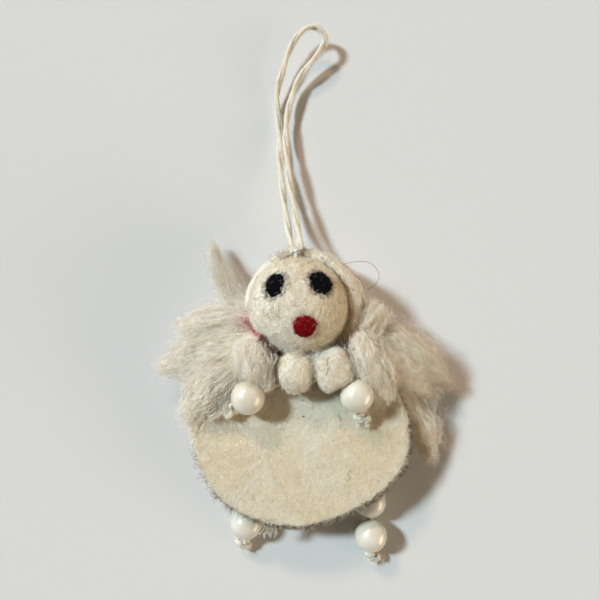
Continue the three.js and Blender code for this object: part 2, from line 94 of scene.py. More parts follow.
# %% Wires and benches
class Wire:
    """One socket of a node. Sums and products of wires become Math nodes."""

    def __init__(self, bench, socket):
        self.bench, self.socket = bench, socket

    def maths(self, operation, *others):
        inputs = dict(enumerate((self, *others)))
        return self.bench.add("ShaderNodeMath", inputs, operation=operation)[0]

    def vector(self, operation, *others, **named):
        """A Vector Math node: its vector, or its number where the operation gives one."""
        inputs = {**dict(enumerate((self, *others))), **named}
        made = self.bench.add("ShaderNodeVectorMath", inputs, operation=operation)
        return made[1 if operation in ("LENGTH", "DOT_PRODUCT") else 0]

    def scaled(self, by):
        return self.vector("SCALE", Scale=by)

    def plus(self, other):
        return self.vector("ADD", other)

    def minus(self, other):
        return self.vector("SUBTRACT", other)

    def __add__(self, other):
        return self.maths("ADD", other)

    def __sub__(self, other):
        return self.maths("SUBTRACT", other)

    def __mul__(self, other):
        return self.maths("MULTIPLY", other)

    def __truediv__(self, other):
        return self.maths("DIVIDE", other)

    def __rsub__(self, other):
        return self.maths("MULTIPLY", -1.0) + other

    def __rtruediv__(self, other):
        return self.maths("POWER", -1.0) * other

    __radd__, __rmul__ = __add__, __mul__


class Made:
    """The outputs of a node that was just added, as wires."""

    def __init__(self, bench, node):
        self.bench, self.node = bench, node

    def __getitem__(self, key):
        return Wire(self.bench, self.node.outputs[key])


class Bench:
    """A node tree, with one method that adds any node to it."""

    def __init__(self, tree):
        self.tree = tree

    def add(self, kind, inputs=None, **settings):
        node = self.tree.nodes.new(kind)
        for name, value in settings.items():
            setattr(node, name, value)
        for key, value in (inputs or {}).items():
            if isinstance(value, Wire):
                self.tree.links.new(value.socket, node.inputs[key])
            else:
                node.inputs[key].default_value = value
        return Made(self, node)

    def ramp(self, value, *stops):
        """Colours along a number, each with its place."""
        made = self.add("ShaderNodeValToRGB", {0: value})
        elements = made.node.color_ramp.elements
        while len(elements) < len(stops):
            elements.new(0.5)
        for element, (place, code) in zip(elements, stops):
            element.position, element.color = place, colour(code)
        return made[0]

    def noise(self, place, size, detail=2.0, seed=0.0, distortion=0.0):
        """Noise whose lumps are about size across, around zero."""
        made = self.add("ShaderNodeTexNoise",
                        {"Vector": place, "W": seed, "Scale": 1.0 / size, "Detail": detail,
                         "Distortion": distortion}, noise_dimensions="4D")
        return made[0] - 0.5

    def clouds(self, place, size, reach, detail=2.0, seed=0.0):
        """Soft patches from 0 to 1. The smaller the reach, the harder their edges."""
        return self.fit(self.noise(place, size, detail, seed), -reach, reach)

    def ridges(self, place, size, width, seed, distortion):
        """0 on thin winding lines, and 1 away from them."""
        return self.fit(self.noise(place, size, 2.0, seed, distortion).maths("ABSOLUTE"), 0.0, width)

    def blend(self, a, b, share):
        """Colour a turning into colour b."""
        return self.add("ShaderNodeMix", {0: share, 6: a, 7: b}, data_type="RGBA")[2]

    def fit(self, value, low, high):
        """The value's place between low and high, held between 0 and 1."""
        return self.add("ShaderNodeMapRange",
                        {"Value": value, "From Min": low, "From Max": high})[0]


def colour(code):
    """A linear colour from the way that screens write one."""
    parts = [int(code[i:i + 2], 16) / 255 for i in (0, 2, 4)]
    return [c / 12.92 if c < 0.04045 else ((c + 0.055) / 1.055) ** 2.4 for c in parts] + [1.0]


print("Wires and benches are ready")

# %% [markdown]
# Wool is matte, slightly translucent and never one colour: each fibre is a little lighter or
# darker than the next. On the felted surfaces the mottling comes from three sizes of noise, and
# a ridge pattern from warped noise draws the matted fibres in colour and in bump. The loose
# fibres carry a random number called tone, and their material turns it into a shade. Some
# finishes also paint shade: a tan that grows away from a point on the window's side, or a darker
# colour on faces that turn away from the window.

# %% Wool and felt
DRY = (("Sheen Weight", 0.15), ("Sheen Roughness", 0.6), ("Specular IOR Level", 0.2))
SOFT = DRY + (("Subsurface Weight", 0.45), ("Subsurface Radius", (1.0, 0.72, 0.46)),
              ("Subsurface Scale", 1.8 * MM))
DULL = (("Specular IOR Level", 0.08),)
AWAY_FROM_WINDOW = (0.55, -0.83, 0.0)
MOTTLE_SIZE, STRAND_SIZE, CURL_SIZE, GRAIN_SIZE = 1.5 * MM, 0.6 * MM, 1.0 * MM, 0.3 * MM
SHADE_SIZE = 5 * MM


def finish(name, roughness, constants=()):
    """A material with one Principled shader, whose constants are set on its own sockets."""
    material = bpy.data.materials.new(name)
    material.use_nodes = True
    shader = material.node_tree.nodes["Principled BSDF"]
    for label, value in (("Roughness", roughness), *constants):
        shader.inputs[label].default_value = value
    return material, Bench(material.node_tree), shader


def paint(bench, shader, plain, tint, height=None, depth=0.0):
    """Links a colour, and a bump so many metres deep. The plain colour is also set on the socket."""
    shader.inputs["Base Color"].default_value = colour(plain)
    bench.tree.links.new(tint.socket, shader.inputs["Base Color"])
    if height is not None:
        made = bench.add("ShaderNodeBump", {"Height": height, "Distance": depth})
        bench.tree.links.new(made[0].socket, shader.inputs["Normal"])


def gathered(bench, tint, place, cloud, gather, patches):
    """The tint turning into another away from a centre, between two distances from it. patches is
    the share of it that comes and goes with the cloud."""
    centre, near, far, tone = gather
    away = place.minus(tuple(v * MM for v in centre)).vector("LENGTH")
    share = bench.fit(away, near * MM, far * MM) * (1 - patches + patches * cloud)
    return bench.blend(tint, colour(tone), share)


def felt(name, light, middle, deep, gather=None, constants=SOFT, edge=None, depth=0.12,
         patch_size=7, patches=0.55):
    """Matted wool. edge is a painted shade: a darker colour on the faces that turn away from the
    window.
    """
    material, bench, shader = finish(name, 0.95, constants)
    place = bench.add("ShaderNodeTexCoord")["Object"]
    cloud = bench.clouds(place, patch_size * MM, 0.16, 3.0)
    mottle = bench.clouds(place, MOTTLE_SIZE, 0.2, 4.0, 3.0)
    strand = bench.ridges(place, STRAND_SIZE, 0.08, 7.0, 1.6)
    curl = bench.ridges(place, CURL_SIZE, 0.05, 9.0, 2.4)
    tint = bench.blend(colour(light), colour(middle), cloud)
    if gather:
        tint = gathered(bench, tint, place, cloud, gather, patches)
    if edge:
        # Painted shade: faces that turn away from the window blend towards the edge colour.
        faces = bench.add("ShaderNodeNewGeometry")["Normal"]
        painted_shade_facing = faces.vector("DOT_PRODUCT", AWAY_FROM_WINDOW)
        tint = bench.blend(tint, colour(edge), bench.fit(painted_shade_facing, 0.25, 0.8) * 0.85)
    for code, share in ((deep, mottle * 0.3), (deep, (1 - strand) * 0.3), (light, (1 - curl) * 0.5)):
        tint = bench.blend(tint, colour(code), share)
    fine = bench.noise(place, GRAIN_SIZE, 3.0, 11.0)
    paint(bench, shader, middle, tint, strand * 0.5 + fine - curl * 0.4 + mottle * 0.8, depth * MM)
    return material


def fibres(name, dark, middle, light, turn=0.45, roughness=0.85, constants=DRY, gather=None):
    """Loose wool, each fibre of its own shade. turn is the share that is darker than middle."""
    material, bench, shader = finish(name, roughness, constants)
    tone = bench.add("ShaderNodeAttribute", attribute_name="tone")["Fac"]
    place = bench.add("ShaderNodeTexCoord")["Object"]
    tint = bench.ramp(tone, (0.0, dark), (turn, middle), (1.0, light))
    cloud = bench.clouds(place, SHADE_SIZE, 0.14, seed=5.0)
    tint = bench.blend(tint, colour(dark), cloud * 0.25)
    if gather:
        tint = gathered(bench, tint, place, cloud, gather, 0.7)
    paint(bench, shader, middle, tint)
    return material


# The head turns tan away from its upper left: painted shade on its side away from the window, partly
# the felt's own tan.
HEAD_FELT = felt("needle_felted_wool", "fcf9ec", "f3ebd6", "cbb086", ((-7, -5, 19), 9, 20, "e6d3af"))
HOOD_FELT = felt("hood_felt", "f9f6eb", "f0e9d6", "cbb68e")
# The edge colour 6d5b45 is painted shade on the dress's sides that face away from the window.
DRESS_FELT = felt("cream_sheet_felt", "f6f5ea", "ebe6d5", "cfba92", ((0.5, -20, 11), 5, 17, "f2e4c4"),
                  edge="6d5b45", depth=0.2, patch_size=13, patches=0.85)
# Its loose fibres turn tan the same way: painted shade, partly their own tan.
HEAD_NAP = fibres("head_nap", "b99c74", "f1ead8", "fdfcf4", 0.22,
                  gather=((-7, -5, 19), 12, 23, "dcc79f"))
WHITE_NAP = fibres("white_nap", "cab591", "f4eedd", "fefdf6", 0.2)
DRESS_NAP = fibres("dress_nap", "bba47a", "ede7d3", "fcfaee", 0.18)
# Grey-brown fibres for the hem away from the window: painted shade.
SHADED_HEM_NAP = fibres("hem_nap", "4a3d2e", "9c8b6e", "f2e8cf", 0.5)
# Mostly dark fibres; on the rim away from the window they are painted shade.
HEM_SHADE = fibres("hem_shade", "2e241a", "6b5a44", "f4ead2", 0.6)
# The fleece turns tan far from the left wing: painted shade on the right wing.
FLEECE = fibres("carded_fleece", "e2d0b0", "faf3e4", "fefcf4", 0.2,
                gather=((-24, 0, 10), 42, 90, "e6d5b6"))
TAN_FUZZ = fibres("tan_fuzz", "74532f", "b8935f", "e6d2ae", 0.5)
BLACK_FELT = felt("black_wool_pad", "0b0b0e", "060608", "020203", None, DULL)
BLACK_WOOL = fibres("black_wool_fibres", "020203", "0a0b0e", "8f95a3", 0.9, 0.8, DULL)
RED_FELT = felt("red_wool_pad", "9c0c16", "7f0a11", "480408", None, DULL)
RED_WOOL = fibres("red_wool_fibres", "5a050b", "a00f1a", "e2a09c", 0.85, 0.8, DULL)
RED_FUZZ = fibres("red_fuzz", "9c1c2c", "d2404e", "efa5a2", 0.5)
PINK_FUZZ = fibres("pink_fuzz", "e0848a", "f2b4b0", "fbe3de", 0.4)
BROWN_FUZZ = fibres("brown_fuzz", "24170e", "4a3422", "8c7050", 0.6, 0.7)
print("Wool finishes:", len(bpy.data.materials))

# %% [markdown]
# Twine is spun from long fibres, so its marks run along it. Each tube made below carries two
# numbers round it and one along it, and a noise on those three is drawn out along the strand.
# The beads are imitation pearl: white plastic with a lacquer, so a soft body under a hard coat.

# %% Twine, pearl and hair
STREAKS_PER_METRE, STREAK_SIZE = 260.0, 0.42
PEARL_CLOUD_SIZE, PEARL_GRAIN_SIZE, PEARL_GRAIN_DEPTH = 3.5 * MM, 0.3 * MM, 0.006 * MM


def twine_finish(name, light, deep):
    material, bench, shader = finish(name, 0.85, SOFT)
    around, across, along = (bench.add("ShaderNodeAttribute", attribute_name=key)["Fac"]
                             for key in ("round_cos", "round_sin", "along"))
    spot = bench.add("ShaderNodeCombineXYZ", {0: around, 1: across, 2: along * STREAKS_PER_METRE})[0]
    streak = bench.clouds(spot, STREAK_SIZE, 0.2, 3.0)
    tint = bench.blend(colour(light), colour(deep), streak)
    paint(bench, shader, light, tint, 1 - streak, 0.07 * MM)
    return material


def pearl_finish(name):
    material, bench, shader = finish(name, 0.36, (
        ("Coat Weight", 1.0), ("Coat Roughness", 0.17), ("Specular IOR Level", 0.6)))
    place = bench.add("ShaderNodeTexCoord")["Object"]
    cloud = bench.clouds(place, PEARL_CLOUD_SIZE, 0.2)
    grain = bench.noise(place, PEARL_GRAIN_SIZE, 2.0, 4.0)
    paint(bench, shader, "d5cfbf", bench.blend(colour("dbd6c8"), colour("cdc6b3"), cloud),
          grain, PEARL_GRAIN_DEPTH)
    return material


TWINE = twine_finish("undyed_twine", "e8e2d5", "c8beaa")
PEARL = pearl_finish("imitation_pearl")
HAIR = fibres("stray_hair", "2c1d12", "4a3422", "7c6044", 0.5, 0.5)
print("Twine, pearl and hair are ready")

# %% [markdown]
# A recipe is a Geometry Nodes tree with named inputs: plain numbers and lengths, which are given
# in millimetres. A piece made by one starts as a simple mesh in a new object. The tree's result is
# turned into a plain mesh and the modifier is taken off, so what is kept is only faces. Every tree
# ends in Realize Instances and Set Material.

# %% Recipes
KINDS = {float: "NodeSocketFloat", int: "NodeSocketInt", type(None): "NodeSocketMaterial"}
TWINE_SIDES, FIBRE_SIDES = 12, 3
LEAST_HEIGHT = 0.1 * MM


class Recipe(Bench):
    """A Geometry Nodes tree with named inputs."""

    def __init__(self, name, plain, lengths):
        super().__init__(bpy.data.node_groups.new(name, "GeometryNodeTree"))
        self.lengths = set(lengths)
        sizes = {**plain, **{label: value * MM for label, value in lengths.items()}}
        face = self.tree.interface
        face.new_socket("Geometry", in_out="INPUT", socket_type="NodeSocketGeometry")
        for label, value in (*sizes.items(), ("Material", None)):
            socket = face.new_socket(label, in_out="INPUT", socket_type=KINDS[type(value)])
            if value is not None:
                socket.default_value = value
        face.new_socket("Geometry", in_out="OUTPUT", socket_type="NodeSocketGeometry")
        self.given = self.add("NodeGroupInput")
        self.position = self.add("GeometryNodeInputPosition")[0]

    def random(self, low, high, seed, ident=None):
        """A random number, or a random vector where low is one."""
        wide = not isinstance(low, float)
        inputs = {0: low, 1: high} if wide else {2: low, 3: high}
        inputs["Seed"] = seed
        if ident is not None:
            inputs["ID"] = ident
        kind = "FLOAT_VECTOR" if wide else "FLOAT"
        return self.add("FunctionNodeRandomValue", inputs, data_type=kind)[0 if wide else 1]

    def store(self, geometry, name, value, domain="POINT", kind="FLOAT"):
        return self.add("GeometryNodeStoreNamedAttribute",
                        {"Geometry": geometry, "Name": name, "Value": value},
                        domain=domain, data_type=kind)[0]

    def read(self, name, kind="FLOAT"):
        return self.add("GeometryNodeInputNamedAttribute", {"Name": name}, data_type=kind)[0]

    def shift(self, geometry, offset):
        return self.add("GeometryNodeSetPosition", {"Geometry": geometry, "Offset": offset})[0]

    def stray(self, place, size, seed=None):
        """A vector noise around zero."""
        inputs = {"Vector": place, "Scale": 1.0 / size, "Detail": 1.0}
        if seed is not None:
            inputs["W"] = seed
        made = self.add("ShaderNodeTexNoise", inputs, noise_dimensions="4D" if "W" in inputs else "3D")
        return made[1].minus((0.5, 0.5, 0.5))

    def resampled(self, curve, by, value):
        """A curve in steps of one length, or with a count of points."""
        return self.add("GeometryNodeResampleCurve", {"Curve": curve, by: value}, mode=by.upper())[0]

    def routes(self, copies, by, value):
        """Smooth curves through the mesh's lines, each so many times, with their length along."""
        curve = self.add("GeometryNodeMeshToCurve", {"Mesh": self.given["Geometry"]})[0]
        curve = self.add("GeometryNodeCurveSplineType", {"Curve": curve}, spline_type="CATMULL_ROM")[0]
        curve = self.resampled(curve, by, value)
        curve = self.store(curve, "along", self.add("GeometryNodeSplineParameter")["Length"])
        return self.add("GeometryNodeDuplicateElements",
                        {"Geometry": curve, "Amount": self.given[copies]}, domain="SPLINE")

    def tube(self, curve, radius, sides):
        """A closed tube along each curve, with numbers round it for the twine's streaks."""
        ring = self.add("GeometryNodeCurvePrimitiveCircle", {"Resolution": sides, "Radius": 1.0})[0]
        around = self.add("GeometryNodeSplineParameter")["Factor"] * (2 * pi)
        if sides > FIBRE_SIDES:
            ring = self.store(ring, "round_cos", around.maths("COSINE"))
            ring = self.store(ring, "round_sin", around.maths("SINE"))
        return self.add("GeometryNodeCurveToMesh", {"Curve": curve, "Profile Curve": ring,
                                                    "Scale": radius, "Fill Caps": True})[0]

    def resting(self, geometry, least=LEAST_HEIGHT):
        """Keeps every point at least so high above the table."""
        place = self.add("ShaderNodeSeparateXYZ", {0: self.position})
        place = self.add("ShaderNodeCombineXYZ", {0: place[0], 1: place[1],
                                                  2: place[2].maths("MAXIMUM", least)})[0]
        return self.add("GeometryNodeSetPosition", {"Geometry": geometry, "Position": place})[0]

    def serve(self, geometry):
        """The tree's last nodes."""
        smooth = self.add("GeometryNodeSetShadeSmooth", {"Geometry": geometry, "Shade Smooth": True})[0]
        real = self.add("GeometryNodeRealizeInstances", {"Geometry": smooth})[0]
        dressed = self.add("GeometryNodeSetMaterial",
                           {"Geometry": real, "Material": self.given["Material"]})[0]
        self.add("NodeGroupOutput", {0: dressed})
        print("Recipe for", self.tree.name + ":", len(self.tree.nodes), "nodes")


def evaluated(piece):
    """A plain mesh of the piece with its modifiers."""
    graph = bpy.context.evaluated_depsgraph_get()
    return bpy.data.meshes.new_from_object(piece.evaluated_get(graph), depsgraph=graph)


def settle(piece, body, slot, *nodes):
    """Says which body the piece moves with and hides the solids that it stands for. Its slot is not
    used.
    """
    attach(piece, body)
    if nodes:
        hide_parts(*nodes)
    piece.data.calc_loop_triangles()
    print(f"{piece.name}: {len(piece.data.loop_triangles)} triangles, moves with {body}")
    return piece


def make(recipe, name, mesh, body, slot, *nodes, **sizes):
    """A settled piece at the origin: the mesh, put through the recipe and made plain."""
    piece = put(name, mesh)
    step = piece.modifiers.new(recipe.tree.name, "NODES")
    step.node_group = recipe.tree
    for item in recipe.tree.interface.items_tree:
        key = item.name.lower().replace(" ", "_")
        if item.in_out == "INPUT" and key in sizes:
            value = sizes.pop(key)
            step[item.identifier] = value * MM if item.name in recipe.lengths else value
    assert not sizes, sizes
    plain = evaluated(piece)
    piece.modifiers.remove(step)
    piece.data = plain
    return settle(piece, body, slot, *nodes)


def line_mesh(name, lines, **widths):
    """Open lines of points in millimetres as a mesh of edges, with numbers on each point."""
    points, edges = [], []
    for line in lines:
        start = len(points)
        points += [tuple(v * MM for v in p) for p in line]
        edges += [(i, i + 1) for i in range(start, len(points) - 1)]
    mesh = bpy.data.meshes.new(name)
    mesh.from_pydata(points, edges, [])
    for key, values in widths.items():
        mesh.attributes.new(key, "FLOAT", "POINT").data.foreach_set("value", [v * MM for v in values])
    return mesh


print("Recipes can be written")

# %% [markdown]
# The hanging loop is one length of soft undyed twine, two plies with a long, loose lay. It
# leaves the crown, runs up, turns in a narrow arch and comes back beside itself. The photograph
# shows it from end to end. A curve with a round bevel would look like wire, so each ply is a
# tube of its own that winds about the route. The same recipe makes the limbs' cords.

# %% The twine recipe
twining = Recipe("twine", {"Plies": 2, "Seed": 1},
                 {"Ply Radius": 0.58, "Ply Offset": 0.33, "Lay Length": 21, "Step": 0.5,
                  "Unevenness": 0.16})
given = twining.given
copies = twining.routes("Plies", "Length", given["Step"])
ply = twining.store(copies[0], "ply", copies[1], "CURVE", "INT")
along = twining.read("along")
number = twining.read("ply", "INT")
turned = (along / given["Lay Length"] + number / given["Plies"]) * (2 * pi)
across = twining.add("GeometryNodeInputNormal")[0]
beside = across.vector("CROSS_PRODUCT", twining.add("GeometryNodeInputTangent")[0])
wound = across.scaled(turned.maths("COSINE") * given["Ply Offset"]).plus(
    beside.scaled(turned.maths("SINE") * given["Ply Offset"]))
spot = twining.add("ShaderNodeCombineXYZ", {0: along, 1: number})[0]
uneven = twining.stray(spot, 3 * MM, given["Seed"]).scaled(given["Unevenness"])
ply = twining.resting(twining.shift(ply, wound.plus(uneven)), given["Ply Radius"] + 0.02 * MM)
twining.serve(twining.tube(ply, given["Ply Radius"], TWINE_SIDES))

# %% The hanging loop
LOOP_ROUTE = [
    (-1.85, 14.58, 12.14), (-2.1, 16.3, 11.0), (-2.7, 20.1, 8.4), (-3.3, 24.0, 6.6),
    (-3.8, 28.0, 5.3), (-4.4, 32.8, 4.0), (-4.8, 37.4, 3.0), (-5.0, 41.9, 2.2), (-5.0, 45.9, 1.7),
    (-5.2, 49.8, 1.6), (-5.6, 53.5, 2.0), (-5.7, 57.0, 2.6), (-5.3, 60.1, 3.2), (-4.5, 62.6, 3.6),
    (-3.7, 65.2, 4.0), (-2.7, 68.3, 4.4), (-1.1, 71.4, 4.9), (0.9, 73.8, 5.3), (3.3, 74.8, 5.6),
    (5.2, 74.3, 5.6), (6.6, 72.8, 5.4), (7.0, 70.9, 5.1), (6.0, 69.1, 4.8), (4.2, 66.9, 4.2),
    (2.2, 64.4, 3.6), (0.4, 62.1, 3.0), (-1.0, 59.5, 2.7), (-1.9, 56.5, 2.6), (-2.7, 53.2, 2.7),
    (-3.3, 49.2, 3.0), (-3.4, 45.3, 3.5), (-3.2, 41.3, 4.2), (-2.8, 36.8, 5.0), (-2.3, 32.4, 5.6),
    (-1.5, 27.7, 6.4), (-0.9, 23.8, 7.4), (-0.3, 20.0, 8.8), (0.2, 16.2, 11.0), (0.15, 14.58, 12.14),
]
HIDDEN_START, HIDDEN_END = (-1.1, 13.8, 12.7), (-0.6, 13.8, 12.7)
loop_path = np.array(LOOP_ROUTE) * MM
loop = make(twining, "hanging_loop_twine",
            line_mesh("loop_route", [[HIDDEN_START, *LOOP_ROUTE, HIDDEN_END]]),
            "hanging_loop", "twine", "hanging_loop", material=TWINE)
tuple(loop_path[0])

# %% [markdown]
# Felt is made by matting fibres, so two recipes serve every felted piece. One pushes a smooth
# mesh out and in by two sizes of noise: soft lumps and a fine nap. The other scatters single
# fibres over a mesh, lays each one over by a lean, bends it, and pulls it close to the surface.

# %% The felting recipe
felting = Recipe("felting", {"Seed": 1.0}, {"Lump Size": 4, "Lump Height": 0.25,
                                            "Nap Size": 0.7, "Nap Height": 0.07})
NOISE_GAIN = 4.0
given = felting.given
lumps, fine_nap = (felting.noise(felting.position, given[kind + " Size"], seed=given["Seed"])
                   * given[kind + " Height"] * NOISE_GAIN for kind in ("Lump", "Nap"))
push = felting.add("GeometryNodeInputNormal")[0].scaled(lumps + fine_nap)
felting.serve(felting.shift(given["Geometry"], push))

# %% The fibre recipe
napping = Recipe("napping", {"Density": 1.0e6, "Lean": 0.9, "Hug": 0.8, "Seed": 1},
                 {"Length": 2, "Radius": 0.035, "Stand": 0.15, "Curl": 1.2, "Curl Size": 1.5})
given, ground, seed = napping.given, napping.given["Geometry"], napping.given["Seed"]
scattered = napping.add("GeometryNodeDistributePointsOnFaces",
                        {"Mesh": ground, "Density": given["Density"], "Seed": seed})
roots = napping.store(scattered[0], "tone", napping.random(0.0, 1.0, seed))
anywhere = napping.random((-1.0, -1.0, -1.0), (1.0, 1.0, 1.0), seed + 5.0)
aside = scattered[1].vector("CROSS_PRODUCT", anywhere).vector("NORMALIZE")
heading = scattered[1].scaled(1 - given["Lean"]).plus(aside.scaled(given["Lean"]))
facing = napping.add("FunctionNodeAlignRotationToVector", {"Vector": heading}, axis="Z")[0]
straight = napping.add("GeometryNodeCurvePrimitiveLine", {"Start": (0, 0, -0.05), "End": (0, 0, 1)})[0]
size = napping.random(0.45, 1.0, seed + 9.0) * given["Length"]
laid = napping.add("GeometryNodeInstanceOnPoints",
                   {"Points": roots, "Instance": napping.resampled(straight, "Count", 5),
                    "Rotation": facing, "Scale": size})[0]
laid = napping.add("GeometryNodeRealizeInstances", {"Geometry": laid})[0]
outward = napping.add("GeometryNodeSplineParameter")["Factor"]
tone = napping.read("tone")
apart = napping.position.plus(
    napping.add("ShaderNodeCombineXYZ", {0: tone * (4 * MM), 1: tone * (9 * MM)})[0])
bend = napping.stray(apart, given["Curl Size"]).scaled(outward * given["Curl"] * 2.0)
near = napping.add("GeometryNodeProximity", {"Geometry": ground}, target_element="FACES")[0]
normal = napping.add("GeometryNodeSampleNearestSurface",
                     {"Mesh": ground, "Value": napping.add("GeometryNodeInputNormal")[0]},
                     data_type="FLOAT_VECTOR")[0]
close = near.plus(normal.scaled(given["Stand"] * (0.3 + tone) * outward))
pull = close.minus(napping.position).scaled(given["Hug"])
laid = napping.resting(napping.shift(napping.shift(laid, bend), pull))
napping.serve(napping.tube(laid, given["Radius"] * (1 - outward * 0.6), FIBRE_SIDES))


def coat(name, mesh, body, slot, material, density, length, radius, **shape):
    """Loose fibres over a mesh, so many to the square metre."""
    return make(napping, name, mesh, body, slot, material=material, density=density,
                length=length, radius=radius, **shape)


def thinned(density):
    return density * 1.0


def nap(name, over, body, slot, material, density, length, radius, **shape):
    """Loose fibres on a copy of another piece's mesh."""
    return coat(name, over.data.copy(), body, slot, material, thinned(density), length, radius,
                **shape)


# %% [markdown]
# Most bodies here are rings of points with faces between them. The same few functions close
# such rings, cut a patch out of a surface and lay a smooth curve through points.

# %% Rings, patches and curves
def mesh_of(name, shape):
    """A mesh with what the bmesh holds."""
    mesh = bpy.data.meshes.new(name)
    shape.to_mesh(mesh)
    shape.free()
    return mesh


def around(sides):
    """Even angles round a ring."""
    return [2 * pi * side / sides for side in range(sides)]


def skin(name, points, sides, bored=False):
    """Rings of points as a mesh, with its faces outward. Its ends are closed, or, where it is
    bored, the last ring joins the first."""
    shape = bmesh.new()
    spots = [shape.verts.new(p) for p in points]
    rows = [spots[i:i + sides] for i in range(0, len(spots), sides)]
    following = rows[1:] + rows[:1] if bored else rows[1:]
    for low, high in zip(rows, following):
        for i in range(sides):
            j = (i + 1) % sides
            shape.faces.new((low[i], low[j], high[j], high[i]))
    if not bored:
        shape.faces.new(rows[0][::-1])
        shape.faces.new(rows[-1])
        bmesh.ops.remove_doubles(shape, verts=shape.verts, dist=0.002 * MM)
    bmesh.ops.recalc_face_normals(shape, faces=shape.faces)
    return mesh_of(name, shape)


def patch(name, source, keep):
    """The faces of a mesh whose middle, in millimetres, is kept."""
    shape = bmesh.new()
    shape.from_mesh(source)
    away = [f for f in shape.faces if not keep(f.calc_center_median() / MM, f.normal)]
    bmesh.ops.delete(shape, geom=away, context="FACES")
    return mesh_of(name, shape)


def between(a, b, c, d, f):
    """The value at a share of the way from b to c, on a smooth curve through all four."""
    return b + ((c - a) * f + (2 * a - 5 * b + 4 * c - d) * f * f
                + (3 * b - a - 3 * c + d) * f ** 3) / 2


def smooth(points, steps):
    """Even steps along a curve through the points."""
    p = np.array(points, dtype=float).reshape(len(points), -1)
    p = np.vstack([2 * p[0] - p[1], p, 2 * p[-1] - p[-2]])
    curve = []
    for step in range(steps + 1):
        spot = step / steps * (len(p) - 3)
        i = min(int(spot), len(p) - 4)
        curve.append(between(*p[i:i + 4], spot - i))
    return np.array(curve)


print("Rings, patches and curves are ready")

# %% [markdown]
# The head is a ball of wool, felted with needles until it is firm. It is not quite round: the
# wool packs harder in some places. An icosphere has even faces and no poles, so noise shows the
# same everywhere.

# %% Head
HEAD_RADIUS, HEAD_CENTRE = 11.9, Vector((0.0, 0.0, 14.0))
UNDER_THE_NAP = 0.1
ball = bmesh.new()
bmesh.ops.create_icosphere(ball, subdivisions=6, radius=(HEAD_RADIUS - UNDER_THE_NAP) * MM,
                           matrix=Matrix.Translation(HEAD_CENTRE * MM))
head = make(felting, "head_felted", mesh_of("head_ball", ball), "doll", "head_felt", "head",
            lump_height=0.16, nap_height=0.05, material=HEAD_FELT)
nap("head_fibres", head, "doll", "head_felt", HEAD_NAP, 4.2e6, 1.7, 0.046, lean=0.88, hug=0.6,
    stand=0.45, curl=2.0, curl_size=1.0)

# %% [markdown]
# The face's eyes and mouth are pads of dyed wool, pushed in at the same places as in the CAD
# model, with ragged edges where single fibres stray over the white. Each pad is a dome on the
# ball with a wavering outline. Its rim sinks into the head, so no edge shows. Two coats of fibres
# hide the rim: one on the pad, and a fringe that is scattered over a round patch of the head a
# little larger than the pad, so that it thins out over white.

# %% Eyes and mouth
PadWool = namedtuple("PadWool", "slot felt nap fringe density length overlap")
BLACK = PadWool("black_wool", BLACK_FELT, BLACK_WOOL, BLACK_WOOL, 7.5e6, 1.6, 0.7)
RED = PadWool("red_wool", RED_FELT, RED_WOOL, RED_FUZZ, 4.5e6, 1.1, 0.35)
FacePad = namedtuple("FacePad", "wool x y width height rise point ragged")
FACE_PADS = {
    "left_eye": FacePad(BLACK, -0.495, 0.38, 4.8, 6.1, 0.55, 0.0,
                        ((1, 0.03, 0.6), (3, 0.04, 0.4), (7, 0.03, 2.0), (13, 0.03, 1.0))),
    "right_eye": FacePad(BLACK, 0.395, 0.424, 5.8, 6.0, 0.55, 0.0,
                         ((2, 0.02, 0.2), (5, 0.025, 1.0), (9, 0.02, 0.0), (14, 0.03, 0.5))),
    "mouth": FacePad(RED, 0.09, -0.413, 5.4, 5.1, 0.6, 0.13,
                     ((3, 0.015, 0.5), (5, 0.02, 1.2), (12, 0.025, 0.0))),
}
PAD_RINGS, PAD_SIDES, PAD_ROOT = 14, 72, -0.9


def outward_at(pad):
    """The direction from the head's centre to the pad's."""
    return Vector((pad.x, pad.y, sqrt(1 - pad.x ** 2 - pad.y ** 2)))


def dome(name, pad):
    """A lumpy dome on the head, closed underneath. point draws out its lower end."""
    out = outward_at(pad)
    east = Vector((1, 0, 0)) - out * out.x
    east.normalize()
    north = out.cross(east)
    points = []
    for ring in range(-PAD_RINGS, PAD_RINGS + 1):
        share = 1 - abs(ring) / PAD_RINGS
        level = PAD_ROOT * sqrt(1 - share ** 2)
        if ring > 0:
            level = pad.rise * sqrt(1 - share ** 2.6)
        for angle in around(PAD_SIDES):
            waver = 1 + sum(a * sin(n * angle + p) for n, a, p in pad.ragged)
            waver += pad.point * max(0.0, -sin(angle)) ** 6
            spot = (out * HEAD_RADIUS + east * (pad.width / 2 * share * waver * cos(angle))
                    + north * (pad.height / 2 * share * waver * sin(angle)))
            points.append((spot.normalized() * (HEAD_RADIUS + level) + HEAD_CENTRE) * MM)
    return skin(name, points, PAD_SIDES)


for key, pad in FACE_PADS.items():
    wool = pad.wool
    made = make(felting, key + "_pad", dome(key, pad), "doll", wool.slot, key, lump_size=1.0,
                lump_height=0.08, nap_size=0.35, nap_height=0.06, material=wool.felt)
    nap(key + "_fibres", made, "doll", wool.slot, wool.nap, 7.0e6, 1.5, 0.035, lean=0.9, hug=0.6,
        stand=0.3, curl=1.2, curl_size=1.0)
    spot = HEAD_CENTRE + HEAD_RADIUS * outward_at(pad)
    reach = max(pad.width, pad.height) / 2 + wool.overlap
    rim = patch(key, head.data, lambda middle, out: (middle - spot).length < reach)
    coat(key + "_fringe", rim, "doll", wool.slot, wool.fringe, wool.density, wool.length, 0.038,
         lean=0.95, hug=0.5, stand=0.35, curl=1.0, curl_size=1.0, seed=3)

